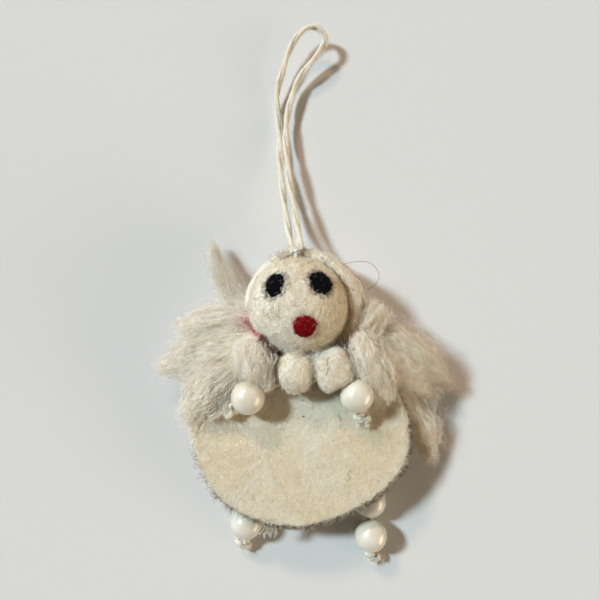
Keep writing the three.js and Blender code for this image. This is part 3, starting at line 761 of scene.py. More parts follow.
# %% [markdown]
# The hood is a cup of felt behind the head with a thick rolled rim. The CAD solid already has
# its form, cut clear of the head and of the knot, so a copy of it is the start. Its loose
# triangles are merged, two soft rods are laid along the rim, thin on the left and thick on the
# right as in the photograph, and a voxel remesh fuses them into one soft shape.

# %% Rods and remeshing
ROD_SIDES = 32


def rod(name, line, widths, flat=1.0, steps=60):
    """A soft closed rod with round ends. widths are half widths, flat its height's share."""
    points, radii = smooth(line, steps), smooth(widths, steps)[:, 0]
    travelled = np.concatenate([[0], np.cumsum(np.linalg.norm(np.diff(points, axis=0), axis=1))])
    rings = []
    for i, (point, radius) in enumerate(zip(points, radii)):
        tangent = points[min(i + 1, steps)] - points[max(i - 1, 0)]
        side = np.cross(tangent, (0, 0, 1))
        side /= np.linalg.norm(side)
        up = np.cross(side, tangent / np.linalg.norm(tangent))
        near = min(travelled[i], travelled[-1] - travelled[i]) / radius
        radius *= sqrt(1 - max(0.0, 1 - near) ** 2)
        rings += [(point + side * radius * cos(angle) + up * radius * flat * sin(angle)) * MM
                  for angle in around(ROD_SIDES)]
    return skin(name, rings, ROD_SIDES)


def arc_rod(name, roll, middle=(0.0, 0.0), **shape):
    """A rod on an arc. roll has its reach, level and half width at each angle."""
    line = [(middle[0] + reach * cos(radians(angle)),
             middle[1] + reach * sin(radians(angle)), level)
            for angle, (reach, level, _) in roll.items()]
    return rod(name, line, [width for _, _, width in roll.values()], **shape)


def remeshed(name, parts, voxel, rounds):
    """The parts' meshes fused into one even mesh and smoothed."""
    shape = bmesh.new()
    for part in parts:
        shape.from_mesh(part)
    bmesh.ops.remove_doubles(shape, verts=shape.verts, dist=0.001 * MM)
    holder = put(name, mesh_of(name, shape))
    fuse = holder.modifiers.new("fuse", "REMESH")
    fuse.mode, fuse.voxel_size = "VOXEL", voxel * MM
    soften = holder.modifiers.new("soften", "SMOOTH")
    soften.factor, soften.iterations = 0.5, rounds
    result = evaluated(holder)
    bpy.data.objects.remove(holder)
    return result


print("Rods and remeshing are ready")

# %% Hood
HOOD_MIDDLE, RIM_WAVE = (1.2, 0.0), 0.3
RIM_LEVEL, OUTER_LEVEL = 10.9, 10.0
RIM_ROLL = {-38: (13.5, 1.0), -16: (13.7, 1.6), 14: (13.35, 1.6), 44: (13.2, 1.45), 70: (13.2, 1.2),
            95: (13.2, 1.0), 120: (13.4, 0.95), 150: (13.6, 0.9), 180: (13.7, 0.9), 204: (13.3, 0.7)}
OUTER_ROLL = {-22: (14.9, 0.4), -5: (15.0, 0.7), 15: (14.9, 0.75), 35: (14.6, 0.7), 58: (14.2, 0.5)}


def rim_rod(name, roll, level):
    """A rod round the hood, whose level waves a little."""
    waving = {angle: (reach, level + RIM_WAVE * sin(3 * radians(angle)), width)
              for angle, (reach, width) in roll.items()}
    return arc_rod(name, waving, HOOD_MIDDLE, steps=90)


hood_mesh = remeshed("hood_soft", [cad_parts["hood"].data,
                                   rim_rod("rim_roll", RIM_ROLL, RIM_LEVEL),
                                   rim_rod("outer_roll", OUTER_ROLL, OUTER_LEVEL)],
                     voxel=0.37, rounds=3)
hood = make(felting, "hood_felted", hood_mesh, "doll", "head_felt", "hood", lump_height=0.12,
            nap_height=0.05, material=HOOD_FELT, seed=4.0)
nap("hood_fibres", hood, "doll", "head_felt", WHITE_NAP, 1.1e6, 2.2, 0.044, lean=0.8, hug=0.45,
    stand=0.4, curl=1.8, curl_size=1.4, seed=3)

# %% [markdown]
# The head is felted to the hood, so loose wool fills the groove between them. It is a soft rod
# that sinks into both, and its fibres close the gap.

# %% Filling
FILLING = {-62: (12.6, 13.4, 0.8), -45: (12.7, 13.7, 1.3), -28: (12.8, 14.3, 1.6),
           -10: (12.9, 15.1, 1.7), 8: (13.0, 15.7, 1.7), 26: (13.0, 15.9, 1.6),
           44: (13.0, 15.7, 1.4), 60: (12.9, 15.0, 1.2), 76: (12.8, 14.0, 0.8)}
filling = make(felting, "hood_filling", arc_rod("filling", FILLING, flat=1.2), "doll", "head_felt",
               lump_height=0.2, material=HOOD_FELT, seed=5.0)
nap("filling_fibres", filling, "doll", "head_felt", WHITE_NAP, 5.5e6, 2.2, 0.045, lean=0.75,
    hug=0.2, curl=2.0, curl_size=1.3, seed=15)

# %% [markdown]
# The dress is a disc of thick felt, cut by hand, a little domed, with a soft cut edge. Its
# outline follows the same sixteen shares of its radius as the CAD solid. The disc is laid out in
# rings from the middle of the top, over the edge, to the middle of the underside.

# %% Dress
DRESS_RADIUS, DRESS_THICKNESS, DRESS_DOME, DRESS_LIFT = 27.6, 3.0, 0.8, 8.4
DRESS_WAVE, DRESS_WAVES = 0.3, 5
DRESS_CENTRE = (0.45, -25.9)
DRESS_EDGE_SHARES = (0.93, 0.84, 0.80, 0.85, 0.90, 0.85, 0.84, 0.92,
                     0.965, 0.985, 1.005, 0.985, 0.97, 0.945, 0.975, 1.02)
TOP_RINGS, EDGE_RINGS, BACK_RINGS, DRESS_SIDES = 46, 15, 16, 288


def around_share(angle):
    """The outline's share at an angle, on a smooth curve through the sixteen."""
    count = len(DRESS_EDGE_SHARES)
    spot = angle / (2 * pi) % 1 * count
    near = [DRESS_EDGE_SHARES[(int(spot) + k) % count] for k in (-1, 0, 1, 2)]
    return between(*near, spot - int(spot))


def dress_profile():
    """[radius, height] from the top's middle over the edge to the underside's middle."""
    half = DRESS_THICKNESS / 2
    edge = DRESS_RADIUS - half
    top = [(edge * sqrt(i / TOP_RINGS), 2 * half) for i in range(1, TOP_RINGS)]
    turn = [(edge + half * cos(a), half + half * sin(a))
            for a in np.linspace(pi / 2, -pi / 2, EDGE_RINGS)]
    back = [(edge * sqrt(i / BACK_RINGS), 0.0) for i in range(BACK_RINGS - 1, 0, -1)]
    return top + turn + back


def dress_point(radius, height, angle):
    """A point of the disc, trimmed to the outline, domed and waved."""
    out = radius / DRESS_RADIUS
    trim = 1 + (around_share(angle) - 1) * min(1, out * out)
    level = (DRESS_LIFT + height + DRESS_DOME * (1 - out * out)
             + DRESS_WAVE * out * out * (1 + sin(DRESS_WAVES * angle)) / 2)
    return [v * MM for v in (DRESS_CENTRE[0] + radius * trim * cos(angle),
                             DRESS_CENTRE[1] + radius * trim * sin(angle), level)]


dress_points = [dress_point(*place, angle) for place in dress_profile()
                for angle in around(DRESS_SIDES)]
dress = make(felting, "dress_felted", skin("dress_disc", dress_points, DRESS_SIDES), "doll",
             "dress_felt", "dress", lump_size=6, lump_height=0.22, nap_size=0.8, nap_height=0.05,
             material=DRESS_FELT, seed=2.0)
nap("dress_fibres", dress, "doll", "dress_felt", DRESS_NAP, 0.86e6, 1.7, 0.046, lean=0.95,
    hug=0.82, stand=0.28, curl=2.2, curl_size=1.0, seed=7)

# %% [markdown]
# Short stiff fibres stand out of the cut edge. Towards the window they are white. On the side
# away from it many are painted grey or brown as shade, as the photograph shows them against the shaded
# edge.

# %% Hem
def away_side(middle):
    """Whether a place on the hem is away from the window."""
    return middle.x > 4 or middle.y < -44


def on_white_hem(middle, out):
    return abs(out.z) < 0.85 and not away_side(middle) and middle.y < -10


def on_shaded_hem(middle, out):
    return abs(out.z) < 0.7 and away_side(middle) and middle.y < -16


def on_rim(middle, out):
    return 0.55 < out.z < 0.985 and middle.y < -10


def on_shaded_rim(middle, out):
    return 0.0 < out.z < 0.93 and out.x - out.y > 0.45 and middle.y < -28


def on_lower_left(middle, out):
    return abs(out.z) < 0.7 and middle.x < -7 and -48 < middle.y < -33


def along_hem(name, keep, material, density, length, seed, radius=0.038, curl=1.2, lean=0.5):
    """Fibres that stand out of part of the dress's edge."""
    coat(name, patch(name, dress.data, keep), "doll", "dress_felt", material, thinned(density),
         length, radius, lean=lean, hug=0.0, curl=curl, curl_size=1.0, seed=seed)


along_hem("hem_white_fibres", on_white_hem, WHITE_NAP, 5.5e6, 1.3, 8, lean=0.4)
# Painted shade: grey and brown fibres on the hem away from the window.
along_hem("hem_fibres", on_shaded_hem, SHADED_HEM_NAP, 7.0e6, 1.3, 12)
along_hem("rim_fibres", on_rim, WHITE_NAP, 6.0e6, 1.0, 9, radius=0.045, lean=0.7)
# Painted shade: dark fibres on the top of the rim that faces away from the window.
along_hem("hem_shade_fibres", on_shaded_rim, HEM_SHADE, 1.7e7, 0.9, 10, radius=0.055, lean=0.6)
along_hem("hem_curls", on_lower_left, HEM_SHADE, 3.0e6, 1.9, 11, radius=0.05, curl=2.6)

# %% [markdown]
# The collar is two small felted pieces under the chin. The left one is a round ball. The right
# one is a scrap folded over on itself, so it is nearly square, with a crease down its front.

# %% Collar
Puff = namedtuple("Puff", "centre half lean square crease seed")
PUFFS = {
    "collar_puff_left": Puff((-0.95, -15.0, 17.1), (4.5, 5.1, 4.3), 0, 2.1, 0.0, 5),
    "collar_puff_right": Puff((7.5, -14.5, 16.9), (4.3, 4.9, 4.0), 22, 3.4, 0.15, 6),
}
PUFF_RINGS, PUFF_SIDES = 40, 64
CREASE_AT, CREASE_WIDTH = -0.4, 0.35


def turned(centre, heading, x, y, z):
    """A point beside a centre, turned about it by a heading, in metres."""
    c, s = cos(radians(heading)), sin(radians(heading))
    return ((centre[0] + x * c - y * s) * MM, (centre[1] + x * s + y * c) * MM,
            (centre[2] + z) * MM)


def puff_mesh(name, puff):
    """A ball between round and square, as rings from its back to its front."""
    points = []
    for ring in range(PUFF_RINGS + 1):
        rise = -pi / 2 + pi * (ring + 0.5) / (PUFF_RINGS + 1)
        for angle in around(PUFF_SIDES):
            c, s = cos(angle), sin(angle)
            swell = (abs(c) ** puff.square + abs(s) ** puff.square) ** (-1 / puff.square)
            x = puff.half[0] * swell * c * cos(rise)
            y = puff.half[1] * swell * s * cos(rise)
            z = puff.half[2] * copysign(abs(sin(rise)) ** (2 / puff.square), rise)
            fold = exp(-((x - CREASE_AT) / CREASE_WIDTH) ** 2)
            z -= puff.crease * fold * max(0.0, sin(rise))
            points.append(turned(puff.centre, puff.lean, x, y, z))
    return skin(name, points, PUFF_SIDES)


puffs = []
for key, puff in PUFFS.items():
    made = make(felting, key + "_felted", puff_mesh(key, puff), "doll", "head_felt", key,
                lump_size=3, lump_height=0.14, nap_height=0.05, material=HOOD_FELT,
                seed=float(puff.seed))
    nap(key + "_fibres", made, "doll", "head_felt", WHITE_NAP, 4.2e6, 1.8, 0.044, lean=0.85,
        hug=0.5, stand=0.45, curl=1.8, curl_size=1.1, seed=puff.seed)
    puffs.append(made)

# %% [markdown]
# The tufts are carded wool: thousands of crimped fibres that run the same way and part into
# locks. Each lock has a soft core, thinner than its CAD solid, so that no light comes through
# the middle. Two coats of fibres follow the lock's route and fill out its form. In the first
# they are gathered into strands that wave together, which gives the lock its valleys. The
# second is thin and loose, and makes the haze at its edges.

# %% The fleece recipe
fleecing = Recipe("fleece", {"Fibres": 300, "Strands": 14, "Gather": 0.3, "Swell": 1.0,
                             "Share": 0.35, "Seed": 1},
                  {"Radius": 0.05, "Crimp": 0.35, "Crimp Length": 4, "Frizz": 1.6,
                   "Frizz Size": 2.5})
given, seed, spread = fleecing.given, fleecing.given["Seed"], fleecing.given["Gather"]
copies = fleecing.routes("Fibres", "Count", 24)
index = fleecing.add("GeometryNodeInputIndex")[0]
FULL_TURN = 6.283


def scatter(geometry, name, low, high, turn, ident, kind="FLOAT"):
    """Stores a random number or vector on each fibre."""
    value = fleecing.random(low, high, seed + turn, ident)
    return fleecing.store(geometry, name, value, "CURVE", kind)


lock = fleecing.store(copies[0], "strand", fleecing.random(0.0, 1.0, seed, index)
                      * given["Strands"], "CURVE", "INT")
lock = scatter(lock, "tone", 0.0, 1.0, 1.0, index)
lock = scatter(lock, "middle", (0.0, 0.0, 0.0), (1.0, FULL_TURN, FULL_TURN), 2.0,
               fleecing.read("strand", "INT"), "FLOAT_VECTOR")
lock = scatter(lock, "own", (0.0, 0.0, -1.0), (1.0, FULL_TURN, 1.0), 3.0, index, "FLOAT_VECTOR")
begin = fleecing.random(0.0, 1.0, seed + 4.0, index) * (1 - given["Share"])
share = fleecing.random(0.7, 1.3, seed + 5.0, index) * given["Share"]
lock = fleecing.add("GeometryNodeTrimCurve", {"Curve": lock, 2: begin, 3: begin + share},
                    mode="FACTOR")[0]
lock = fleecing.resampled(lock, "Count", 7)
tangent = fleecing.add("GeometryNodeInputTangent")[0]
sideways = tangent.vector("CROSS_PRODUCT", (0, 0, 1)).vector("NORMALIZE")
upwards = sideways.vector("CROSS_PRODUCT", tangent)
own_place = fleecing.read("own", "FLOAT_VECTOR")
middle = fleecing.add("ShaderNodeSeparateXYZ", {0: fleecing.read("middle", "FLOAT_VECTOR")})
own = fleecing.add("ShaderNodeSeparateXYZ", {0: own_place})
tip = fleecing.add("GeometryNodeSplineParameter")["Factor"]
wave = fleecing.read("along") / given["Crimp Length"] * (2 * pi) + middle[2]


def share_across(operation):
    """A fibre's place across the lock: its strand's middle, and its own place beside it."""
    return (middle[0].maths("SQRT") * middle[1].maths(operation) * (1 - spread)
            + own[0].maths("SQRT") * own[1].maths(operation) * spread) * given["Swell"]


side_by = (share_across("COSINE") * fleecing.read("half_width")
           + wave.maths("SINE") * given["Crimp"])
up_by = (share_across("SINE") * fleecing.read("half_height")
         + wave.maths("COSINE") * given["Crimp"] * 0.6)
lock = fleecing.shift(lock, sideways.scaled(side_by).plus(upwards.scaled(up_by)))
apart = fleecing.position.plus(own_place.scaled(3 * MM))
frizz = fleecing.stray(apart, given["Frizz Size"]).scaled((0.35 + tip * 0.65) * given["Frizz"] * 2.0)
lock = fleecing.resting(fleecing.shift(lock, frizz))
fleecing.serve(fleecing.tube(lock, given["Radius"] * (1 - tip * 0.5), FIBRE_SIDES))

# %% [markdown]
# One lock after another: the route's points in millimetres, the half width at each, how flat the
# lock is, how thick its core is, how many fibres it has, and how far loose tips reach past its
# end. The inner lock on the right lies against the arm's pearl, and its pieces get meshes of
# their own.

# %% Fleece
Lock = namedtuple("Lock", "route half_widths flat core fibres tips")
LOCKS = {
    "wool_left_main": Lock([(-9, -7.2, 12), (-16.2, -9.4, 11.8), (-24.5, -11.2, 9.5),
                            (-34.2, -14.8, 5.9)], (3.7, 6.8, 6.5, 2.2), 0.58, 0.64, 2000, 2.6),
    "wool_left_upper": Lock([(-10.1, -2.9, 11.2), (-17.3, -3.2, 10.9), (-23.8, -3.6, 9),
                             (-29.9, -4.3, 6.7)], (3.7, 4.9, 4.9, 2.2), 0.6, 0.58, 1400, 2.0),
    "wool_left_wisp": Lock([(-11.9, -2.2, 9.2), (-16.6, 3.6, 7.6), (-20.2, 10.1, 5.9),
                            (-22, 16.2, 4.5)], (3.0, 3.7, 3.2, 1.1), 0.6, 0.12, 600, 1.6),
    "wool_left_inner": Lock([(-9.4, -7.2, 16.2), (-10.4, -11.2, 17.1), (-10.4, -14.8, 17.1),
                             (-9.7, -18, 16.5)], (3, 4.6, 4.6, 2.6), 1.0, 0.62, 1500, 0),
    "wool_left_lower": Lock([(-13, -11.3, 14.1), (-18.4, -16, 14.6), (-23.3, -20.8, 14),
                             (-27.6, -26.2, 11.3)], (3, 4.8, 5.2, 3.0), 0.55, 0.6, 1500, 2.0),
    "wool_right_main": Lock([(12.2, -5.4, 12), (20.9, -8.2, 11.5), (29.9, -13.2, 9),
                             (36.9, -18.0, 5.6)], (3.6, 5.8, 5.8, 2.2), 0.6, 0.66, 2000, 2.4),
    "wool_right_lobe": Lock([(14.6, -6.6, 14.4), (16.4, -4.2, 14.6), (17.6, -1.6, 14.1),
                             (18.6, 0.6, 13)], (2.9, 3.5, 3.4, 2.5), 0.8, 0.6, 1000, 0),
    "wool_right_inner": Lock([(13, -5.8, 15.7), (15.1, -11.5, 16.8), (17.6, -16.6, 15.7),
                              (21.6, -22.3, 13.7)], (3, 4.8, 5.2, 2.2), 0.8, 0.6, 1700, 0),
    "wool_right_under": Lock([(15.8, -8.6, 11.8), (22.3, -13, 11.8), (28.1, -17.3, 9.2),
                              (33.1, -21.6, 5.9)], (3.3, 5.9, 5.6, 1.9), 0.6, 0.7, 1400, 2.4),
    "wool_right_tuft": Lock([(23.8, -19.4, 8.7), (27.7, -25.2, 6.2), (31.7, -31.7, 4.5),
                             (33.5, -37.4, 3.6)], (3.3, 4.9, 4.6, 1.5), 0.55, 0.6, 1100, 1.8),
}
INNER_HEM = Lock([(-8.4, -11.5, 18.8), (-7.9, -14.6, 19.0), (-7.6, -17.4, 18.3),
                  (-7.4, -19.6, 16.4)], (1.6, 2.4, 2.4, 1.5), 0.6, 0, 420, 0)
STUBBY = ("wool_right_lobe", "wool_left_inner")
STUBBY_SHARE, LONG_SHARE = 0.75, 0.35
TIP_FIBRES, TIP_WIDTHS, TIP_ROOTS = 170, (1.5, 1.2, 0.8, 0.3), (-6, -1)


def fleece(name, lock, fibres, **sizes):
    """One coat of fibres along a lock's route."""
    guide = line_mesh(name, [lock.route], half_width=lock.half_widths,
                      half_height=[w * lock.flat for w in lock.half_widths])
    make(fleecing, name, guide, "doll", "carded_wool", fibres=fibres // 1,
         material=FLEECE, **sizes)


def past_end(lock):
    """The lock's last stretch, carried on past its end and drawn thin."""
    last, before = np.array(lock.route[-1]), np.array(lock.route[-2])
    run = (last - before) / np.linalg.norm(last - before)
    route = [tuple(last + run * by) for by in (*TIP_ROOTS, lock.tips * 0.5, lock.tips)]
    wide = lock.half_widths[-1]
    return lock._replace(route=route, half_widths=[wide * by for by in TIP_WIDTHS])


cores = []
for number, (key, lock) in enumerate(LOCKS.items()):
    inside = rod(key, lock.route, [w * lock.core for w in lock.half_widths], lock.flat)
    cores.append(make(felting, key + "_core", inside, "doll", "carded_wool", key, lump_size=2.2,
                      lump_height=0.25, nap_height=0.08, material=HOOD_FELT, seed=10.0 + number))
    share = STUBBY_SHARE if key in STUBBY else LONG_SHARE
    fleece(key + "_fibres", lock, lock.fibres, strands=26, gather=0.7, swell=0.93, radius=0.04,
           crimp=0.2, share=share, frizz=2.3, seed=20 + number)
    fleece(key + "_haze", lock, lock.fibres * 45 // 100, gather=1.0, swell=1.2, radius=0.03,
           frizz=4.6, frizz_size=2.4, share=share * 0.8, seed=40 + number)
    if lock.tips:
        fleece(key + "_tips", past_end(lock), TIP_FIBRES, strands=9, gather=0.6, swell=1.1,
               radius=0.03, crimp=0.3, share=0.6, frizz=4.5, seed=60 + number)
for suffix in ("_core", "_fibres", "_haze"):
    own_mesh(bpy.data.objects["wool_right_inner" + suffix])
fleece("wool_left_inner_hem", INNER_HEM, INNER_HEM.fibres, strands=10, gather=0.8, swell=1.0,
       radius=0.036, crimp=0.2, share=0.6, frizz=2.2, seed=80)

# %% [markdown]
# Each limb is a cord that is sewn to the dress, runs through its pearls and ends in a knot with
# short tails. Its route is worked out in the limb's own frame, with the stitch at the origin and
# the limb along X, and then turned to its heading.

# %% Limb sizes
PEARL_RADIUS, PEARL_PITCH, KNOT_RADIUS, DRESS_TOP = 4.0, 8.3, 1.45, 12.5
ARM_EYE, LEG_EYE = DRESS_TOP + 0.9, 7.9
KNOT_GAP, KNOT_LEVEL, TAIL_LEVEL = 1.3, 1.5, 0.95
KNOT_STEPS, KNOT_SPREAD, KNOT_RISE = 24, 0.36, 0.5
Limb = namedtuple("Limb", "stitch heading reach arm pearls drift tails")
LIMBS = {
    "left_arm": Limb((-2.255, -16.792), 204.2, 10.8, True, ["left_hand_pearl"], 1.0,
                     [(5.2, -0.2)]),
    "right_arm": Limb((10.634, -10.472), -75.7, 10.7, True, ["right_hand_pearl"], 0.28,
                      [(2.0, -1.5), (2.6, 0.8)]),
    "left_leg": Limb((-13.709, -35.008), -88.4, 9.9, False,
                     ["left_foot_pearl_upper", "left_foot_pearl_lower"], -0.8, [(2.3, 1.0)]),
    "right_leg": Limb((17.562, -36.333), -89.0, 11.8, False,
                      ["right_foot_pearl_upper", "right_foot_pearl_lower"], 0.88,
                      [(1.6, 2.4), (2.2, 0.1)]),
}


def placed(limb, points):
    """Points of a limb's own frame, in the row frame."""
    (x, y), heading = limb.stitch, radians(limb.heading)
    c, s = cos(heading), sin(heading)
    return [(x + a * c - b * s, y + a * s + b * c, z) for a, b, z in points]


def pearl_level(limb):
    return DRESS_TOP + 0.3 + PEARL_RADIUS if limb.arm else PEARL_RADIUS


def knot_line(centre, size):
    """A cord's line through an overhand knot: once and a half round a small trefoil."""
    line = []
    for step in range(KNOT_STEPS + 1):
        t = radians(30 + 300 * step / KNOT_STEPS)
        line.append((centre[0] + size * KNOT_SPREAD * (sin(t) + 1.6 * sin(2 * t)),
                     centre[1] + size * KNOT_SPREAD * (cos(t) - 1.6 * cos(2 * t)),
                     centre[2] - size * KNOT_RISE * sin(3 * t)))
    return line


def limb_lines(limb):
    """The cord's run from the stitch to the knot, the knot and the tails."""
    level, reach = pearl_level(limb), limb.reach
    eye, floor = (ARM_EYE, DRESS_TOP) if limb.arm else (LEG_EYE, 0.0)
    last = reach + (len(limb.pearls) - 1) * PEARL_PITCH
    knot = (last + PEARL_RADIUS + KNOT_GAP, limb.drift, floor + KNOT_LEVEL)
    run = [(0.2, 0, eye), (reach * 0.25, 0, eye + (level - eye) * 0.15),
           (reach * 0.45, 0, eye + (level - eye) * 0.6), (reach - 4.6, 0, level),
           (reach, 0, level), (last + 3.6, 0, level),
           (knot[0] - 0.6, knot[1] * 0.7, knot[2] + 0.9), knot]
    tails = [[knot, (knot[0] + along * 0.5, knot[1] + aside * 0.4, knot[2] - 0.3),
              (knot[0] + along, knot[1] + aside, floor + TAIL_LEVEL)] for along, aside in limb.tails]
    return [placed(limb, line) for line in (run, knot_line(knot, KNOT_RADIUS), *tails)]


print("Limbs:", ", ".join(LIMBS))

# %% [markdown]
# The cord, the knot and the tails are twine of different thickness and lay, and the knot and the
# tails carry loose fibres. The pearls are turned profiles with a bore, so their rings run along
# the outside and back through the hole.

# %% Cords, knots and pearls
CORD = {"ply_radius": 0.48, "ply_offset": 0.27, "lay_length": 6, "step": 0.35, "unevenness": 0.08}
KNOT = {"ply_radius": 0.7, "ply_offset": 0.26, "lay_length": 7, "step": 0.35, "unevenness": 0.2}
TAILS = {"plies": 3, "ply_radius": 0.36, "ply_offset": 0.3, "lay_length": 9, "step": 0.3,
         "unevenness": 0.35}
PEARL_BORE, PEARL_SIDES, PEARL_RINGS, BORE_RINGS = 0.75, 72, 40, 8
BORE_SHARE = 0.97


def pearl_mesh(name, centre, heading):
    """A ball with a bore along the heading."""
    lip = asin(PEARL_BORE / PEARL_RADIUS)
    profile = [(PEARL_RADIUS * cos(a), PEARL_RADIUS * sin(a))
               for a in np.linspace(lip, pi - lip, PEARL_RINGS)]
    end = profile[-1][0] * BORE_SHARE
    profile += [(x, PEARL_BORE) for x in np.linspace(end, -end, BORE_RINGS)]
    points = [turned(centre, heading, x, r * cos(angle), r * sin(angle))
              for x, r in profile for angle in around(PEARL_SIDES)]
    mesh = skin(name, points, PEARL_SIDES, bored=True)
    mesh.shade_smooth()
    mesh.materials.append(PEARL)
    return mesh


for key, limb in LIMBS.items():
    run, knot_route, *tail_routes = limb_lines(limb)
    make(twining, key + "_twine", line_mesh(key, [run]), key, "twine", key + "_cord",
         material=TWINE, **CORD)
    knot = make(twining, key + "_knot_twine", line_mesh(key, [knot_route]), key, "twine",
                material=TWINE, **KNOT)
    tails = make(twining, key + "_tail_twine", line_mesh(key, tail_routes), key, "twine",
                 material=TWINE, **TAILS)
    nap(key + "_tail_fibres", tails, key, "twine", WHITE_NAP, 6.0e6, 2.0, 0.03, lean=0.85,
        hug=0.2, stand=0.3, curl=1.8, curl_size=1.4)
    nap(key + "_knot_fibres", knot, key, "twine", WHITE_NAP, 4.0e6, 1.4, 0.03, lean=0.8,
        hug=0.25, stand=0.3, curl=1.4, curl_size=1.2)
    for order, bead in enumerate(limb.pearls):
        centre = placed(limb, [(limb.reach + order * PEARL_PITCH, 0, pearl_level(limb))])[0]
        settle(put(bead + "_bead", pearl_mesh(bead, centre, limb.heading)), bead, "pearl", bead)

# %% [markdown]
# Small things finish it. At the crown the loop goes into a small knot that is half hidden by
# tan fuzz, and four stitches hold the limbs.

# %% Crown knot and stitches
CROWN_PLACE, CROWN_KNOT_SIZE = (-0.85, 13.2, 12.9), 0.95
CROWN_CORD = {"ply_radius": 0.42, "ply_offset": 0.24, "lay_length": 5, "step": 0.35}


def at_crown(middle, out):
    return abs(middle.x - CROWN_PLACE[0]) < 4 and middle.y > 10.5 and out.z > -0.2


make(twining, "crown_knot_twine", line_mesh("crown", [knot_line(CROWN_PLACE, CROWN_KNOT_SIZE)]),
     "doll", "twine", "crown_knot", material=TWINE, **CROWN_CORD)
coat("crown_fuzz", patch("crown_fuzz", hood.data, at_crown), "doll", "head_felt", TAN_FUZZ, 5.0e6,
     2.2, 0.03, lean=0.7, hug=0.3, curl=1.8, curl_size=1.3, seed=12)
for key in LIMBS:
    thread = remeshed(key, [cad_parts[key + "_stitch"].data], voxel=0.1, rounds=3)
    thread.materials.append(TWINE)
    settle(put(key + "_stitch_thread", thread), "doll", "twine", key + "_stitch")
nap("loop_fibres", loop, "hanging_loop", "twine", WHITE_NAP, 1.1e6, 1.8, 0.03, lean=0.9, hug=0.35,
    stand=0.25, curl=1.0, curl_size=1.8)

# %% [markdown]
# A few stray fibres make it handmade. Each is placed by where the camera sees it, in a picture
# 600 pixels wide: a ray through that place is followed to the piece that carries the fibre, or
# to a height in millimetres.

# %% Places under the camera
PICTURE = 600
LIFT = 0.2
BACK = Vector(CAMERA_BACK)
carriers = [BVHTree.FromPolygons([v.co.copy() for v in piece.data.vertices],
                                 [tuple(p.vertices) for p in piece.data.polygons])
            for piece in (head, hood, dress, *cores, *puffs)]


def under(x, y, lift=LIFT, height=None):
    """The place that the camera sees at x, y of the picture, in millimetres."""
    start = Vector(CAMERA_PLACE)
    ray = (Vector(CAMERA_RIGHT) * (x - PICTURE / 2) / PICTURE
           + Vector(CAMERA_UP) * (PICTURE / 2 - y) / PICTURE - BACK).normalized()
    if height is not None:
        return start / MM + ray * ((height - start.z / MM) / ray.z)
    hits = [tree.ray_cast(start, ray) for tree in carriers]
    near = min((hit for hit in hits if hit[0]), key=lambda hit: hit[3])
    return near[0] / MM + (near[1] + BACK).normalized() * lift


def seen(places):
    """Places of a hair: x, y on a piece, or x, y and a height in the air."""
    return [under(x, y, height=height[0] if height else None) for x, y, *height in places]


print("Pieces that can carry fibres:", len(carriers))

# %% [markdown]
# The fuzz lies in narrow strips: a line of pink, red and brown along the left cheek, tan and
# brown at the temple and the sleeve, and white or tan where two felts meet. Fibres are scattered
# over each strip, and the strip itself is left out.

# %% Strips of fuzz
Strip = namedtuple("Strip", "material density length width seed lift places")
STRIPS = {
    "cheek_fuzz_pink": Strip(PINK_FUZZ, 4.0e6, 1.8, 4.6, 30, 0.6,
                             [(238, 317), (245, 321), (251, 327), (256, 334), (261, 343)]),
    "cheek_fuzz_red": Strip(RED_FUZZ, 1.2e7, 1.4, 1.7, 31, 0.9,
                            [(243, 319), (249, 325), (254, 332), (259, 339), (263, 346)]),
    "cheek_fuzz_brown": Strip(BROWN_FUZZ, 2.2e7, 1.2, 1.5, 32, 1.8,
                              [(257, 336), (261, 342), (265, 349), (269, 356)]),
    "chin_fuzz_brown": Strip(BROWN_FUZZ, 3.2e7, 1.1, 2.2, 42, 3.6,
                             [(265, 348), (269, 353), (272, 358), (275, 362)]),
    "temple_fuzz": Strip(TAN_FUZZ, 7.0e6, 2.0, 3.4, 33, 0.5,
                         [(322, 262), (329, 265), (335, 271), (341, 281), (345, 292)]),
    "temple_hairs": Strip(BROWN_FUZZ, 2.0e6, 2.0, 3.0, 39, 0.5,
                          [(323, 264), (330, 268), (336, 275), (339, 284)]),
    "cheek_shade_fuzz": Strip(TAN_FUZZ, 2.5e6, 2.0, 6.0, 34, 0.5,
                              [(340, 276), (346, 290), (348, 305), (346, 320), (339, 334)]),
    "hood_gap_fuzz": Strip(HEAD_NAP, 5.0e6, 2.2, 3.4, 41, 0.8,
                           [(341, 268), (348, 280), (352, 294), (353, 308), (350, 320), (344, 331),
                            (336, 338)]),
    "sleeve_fuzz": Strip(BROWN_FUZZ, 2.6e6, 2.0, 3.0, 35, 0.4,
                         [(350, 342), (354, 352), (359, 362), (366, 376)]),
    "dress_edge_fuzz": Strip(WHITE_NAP, 4.5e6, 2.6, 6.5, 43, 0.5,
                             [(191, 416), (200, 419), (211, 421), (223, 421), (235, 419)]),
    "chin_fuzz": Strip(WHITE_NAP, 9.0e6, 2.2, 2.6, 36, 0.6,
                       [(281, 354), (289, 353), (298, 355), (307, 353), (316, 349), (326, 345),
                        (336, 340)]),
    "puff_fuzz": Strip(WHITE_NAP, 8.0e6, 2.2, 2.2, 37, 0.5,
                       [(314, 353), (314, 361), (315, 369), (317, 378)]),
    "crown_white_fuzz": Strip(WHITE_NAP, 6.0e6, 2.6, 3.0, 38, 0.7,
                              [(283, 256), (291, 253), (299, 252), (308, 254)]),
    "crown_tan_fuzz": Strip(TAN_FUZZ, 2.0e6, 1.6, 2.6, 40, 0.3,
                            [(270, 262), (277, 257), (285, 255), (293, 257)]),
}


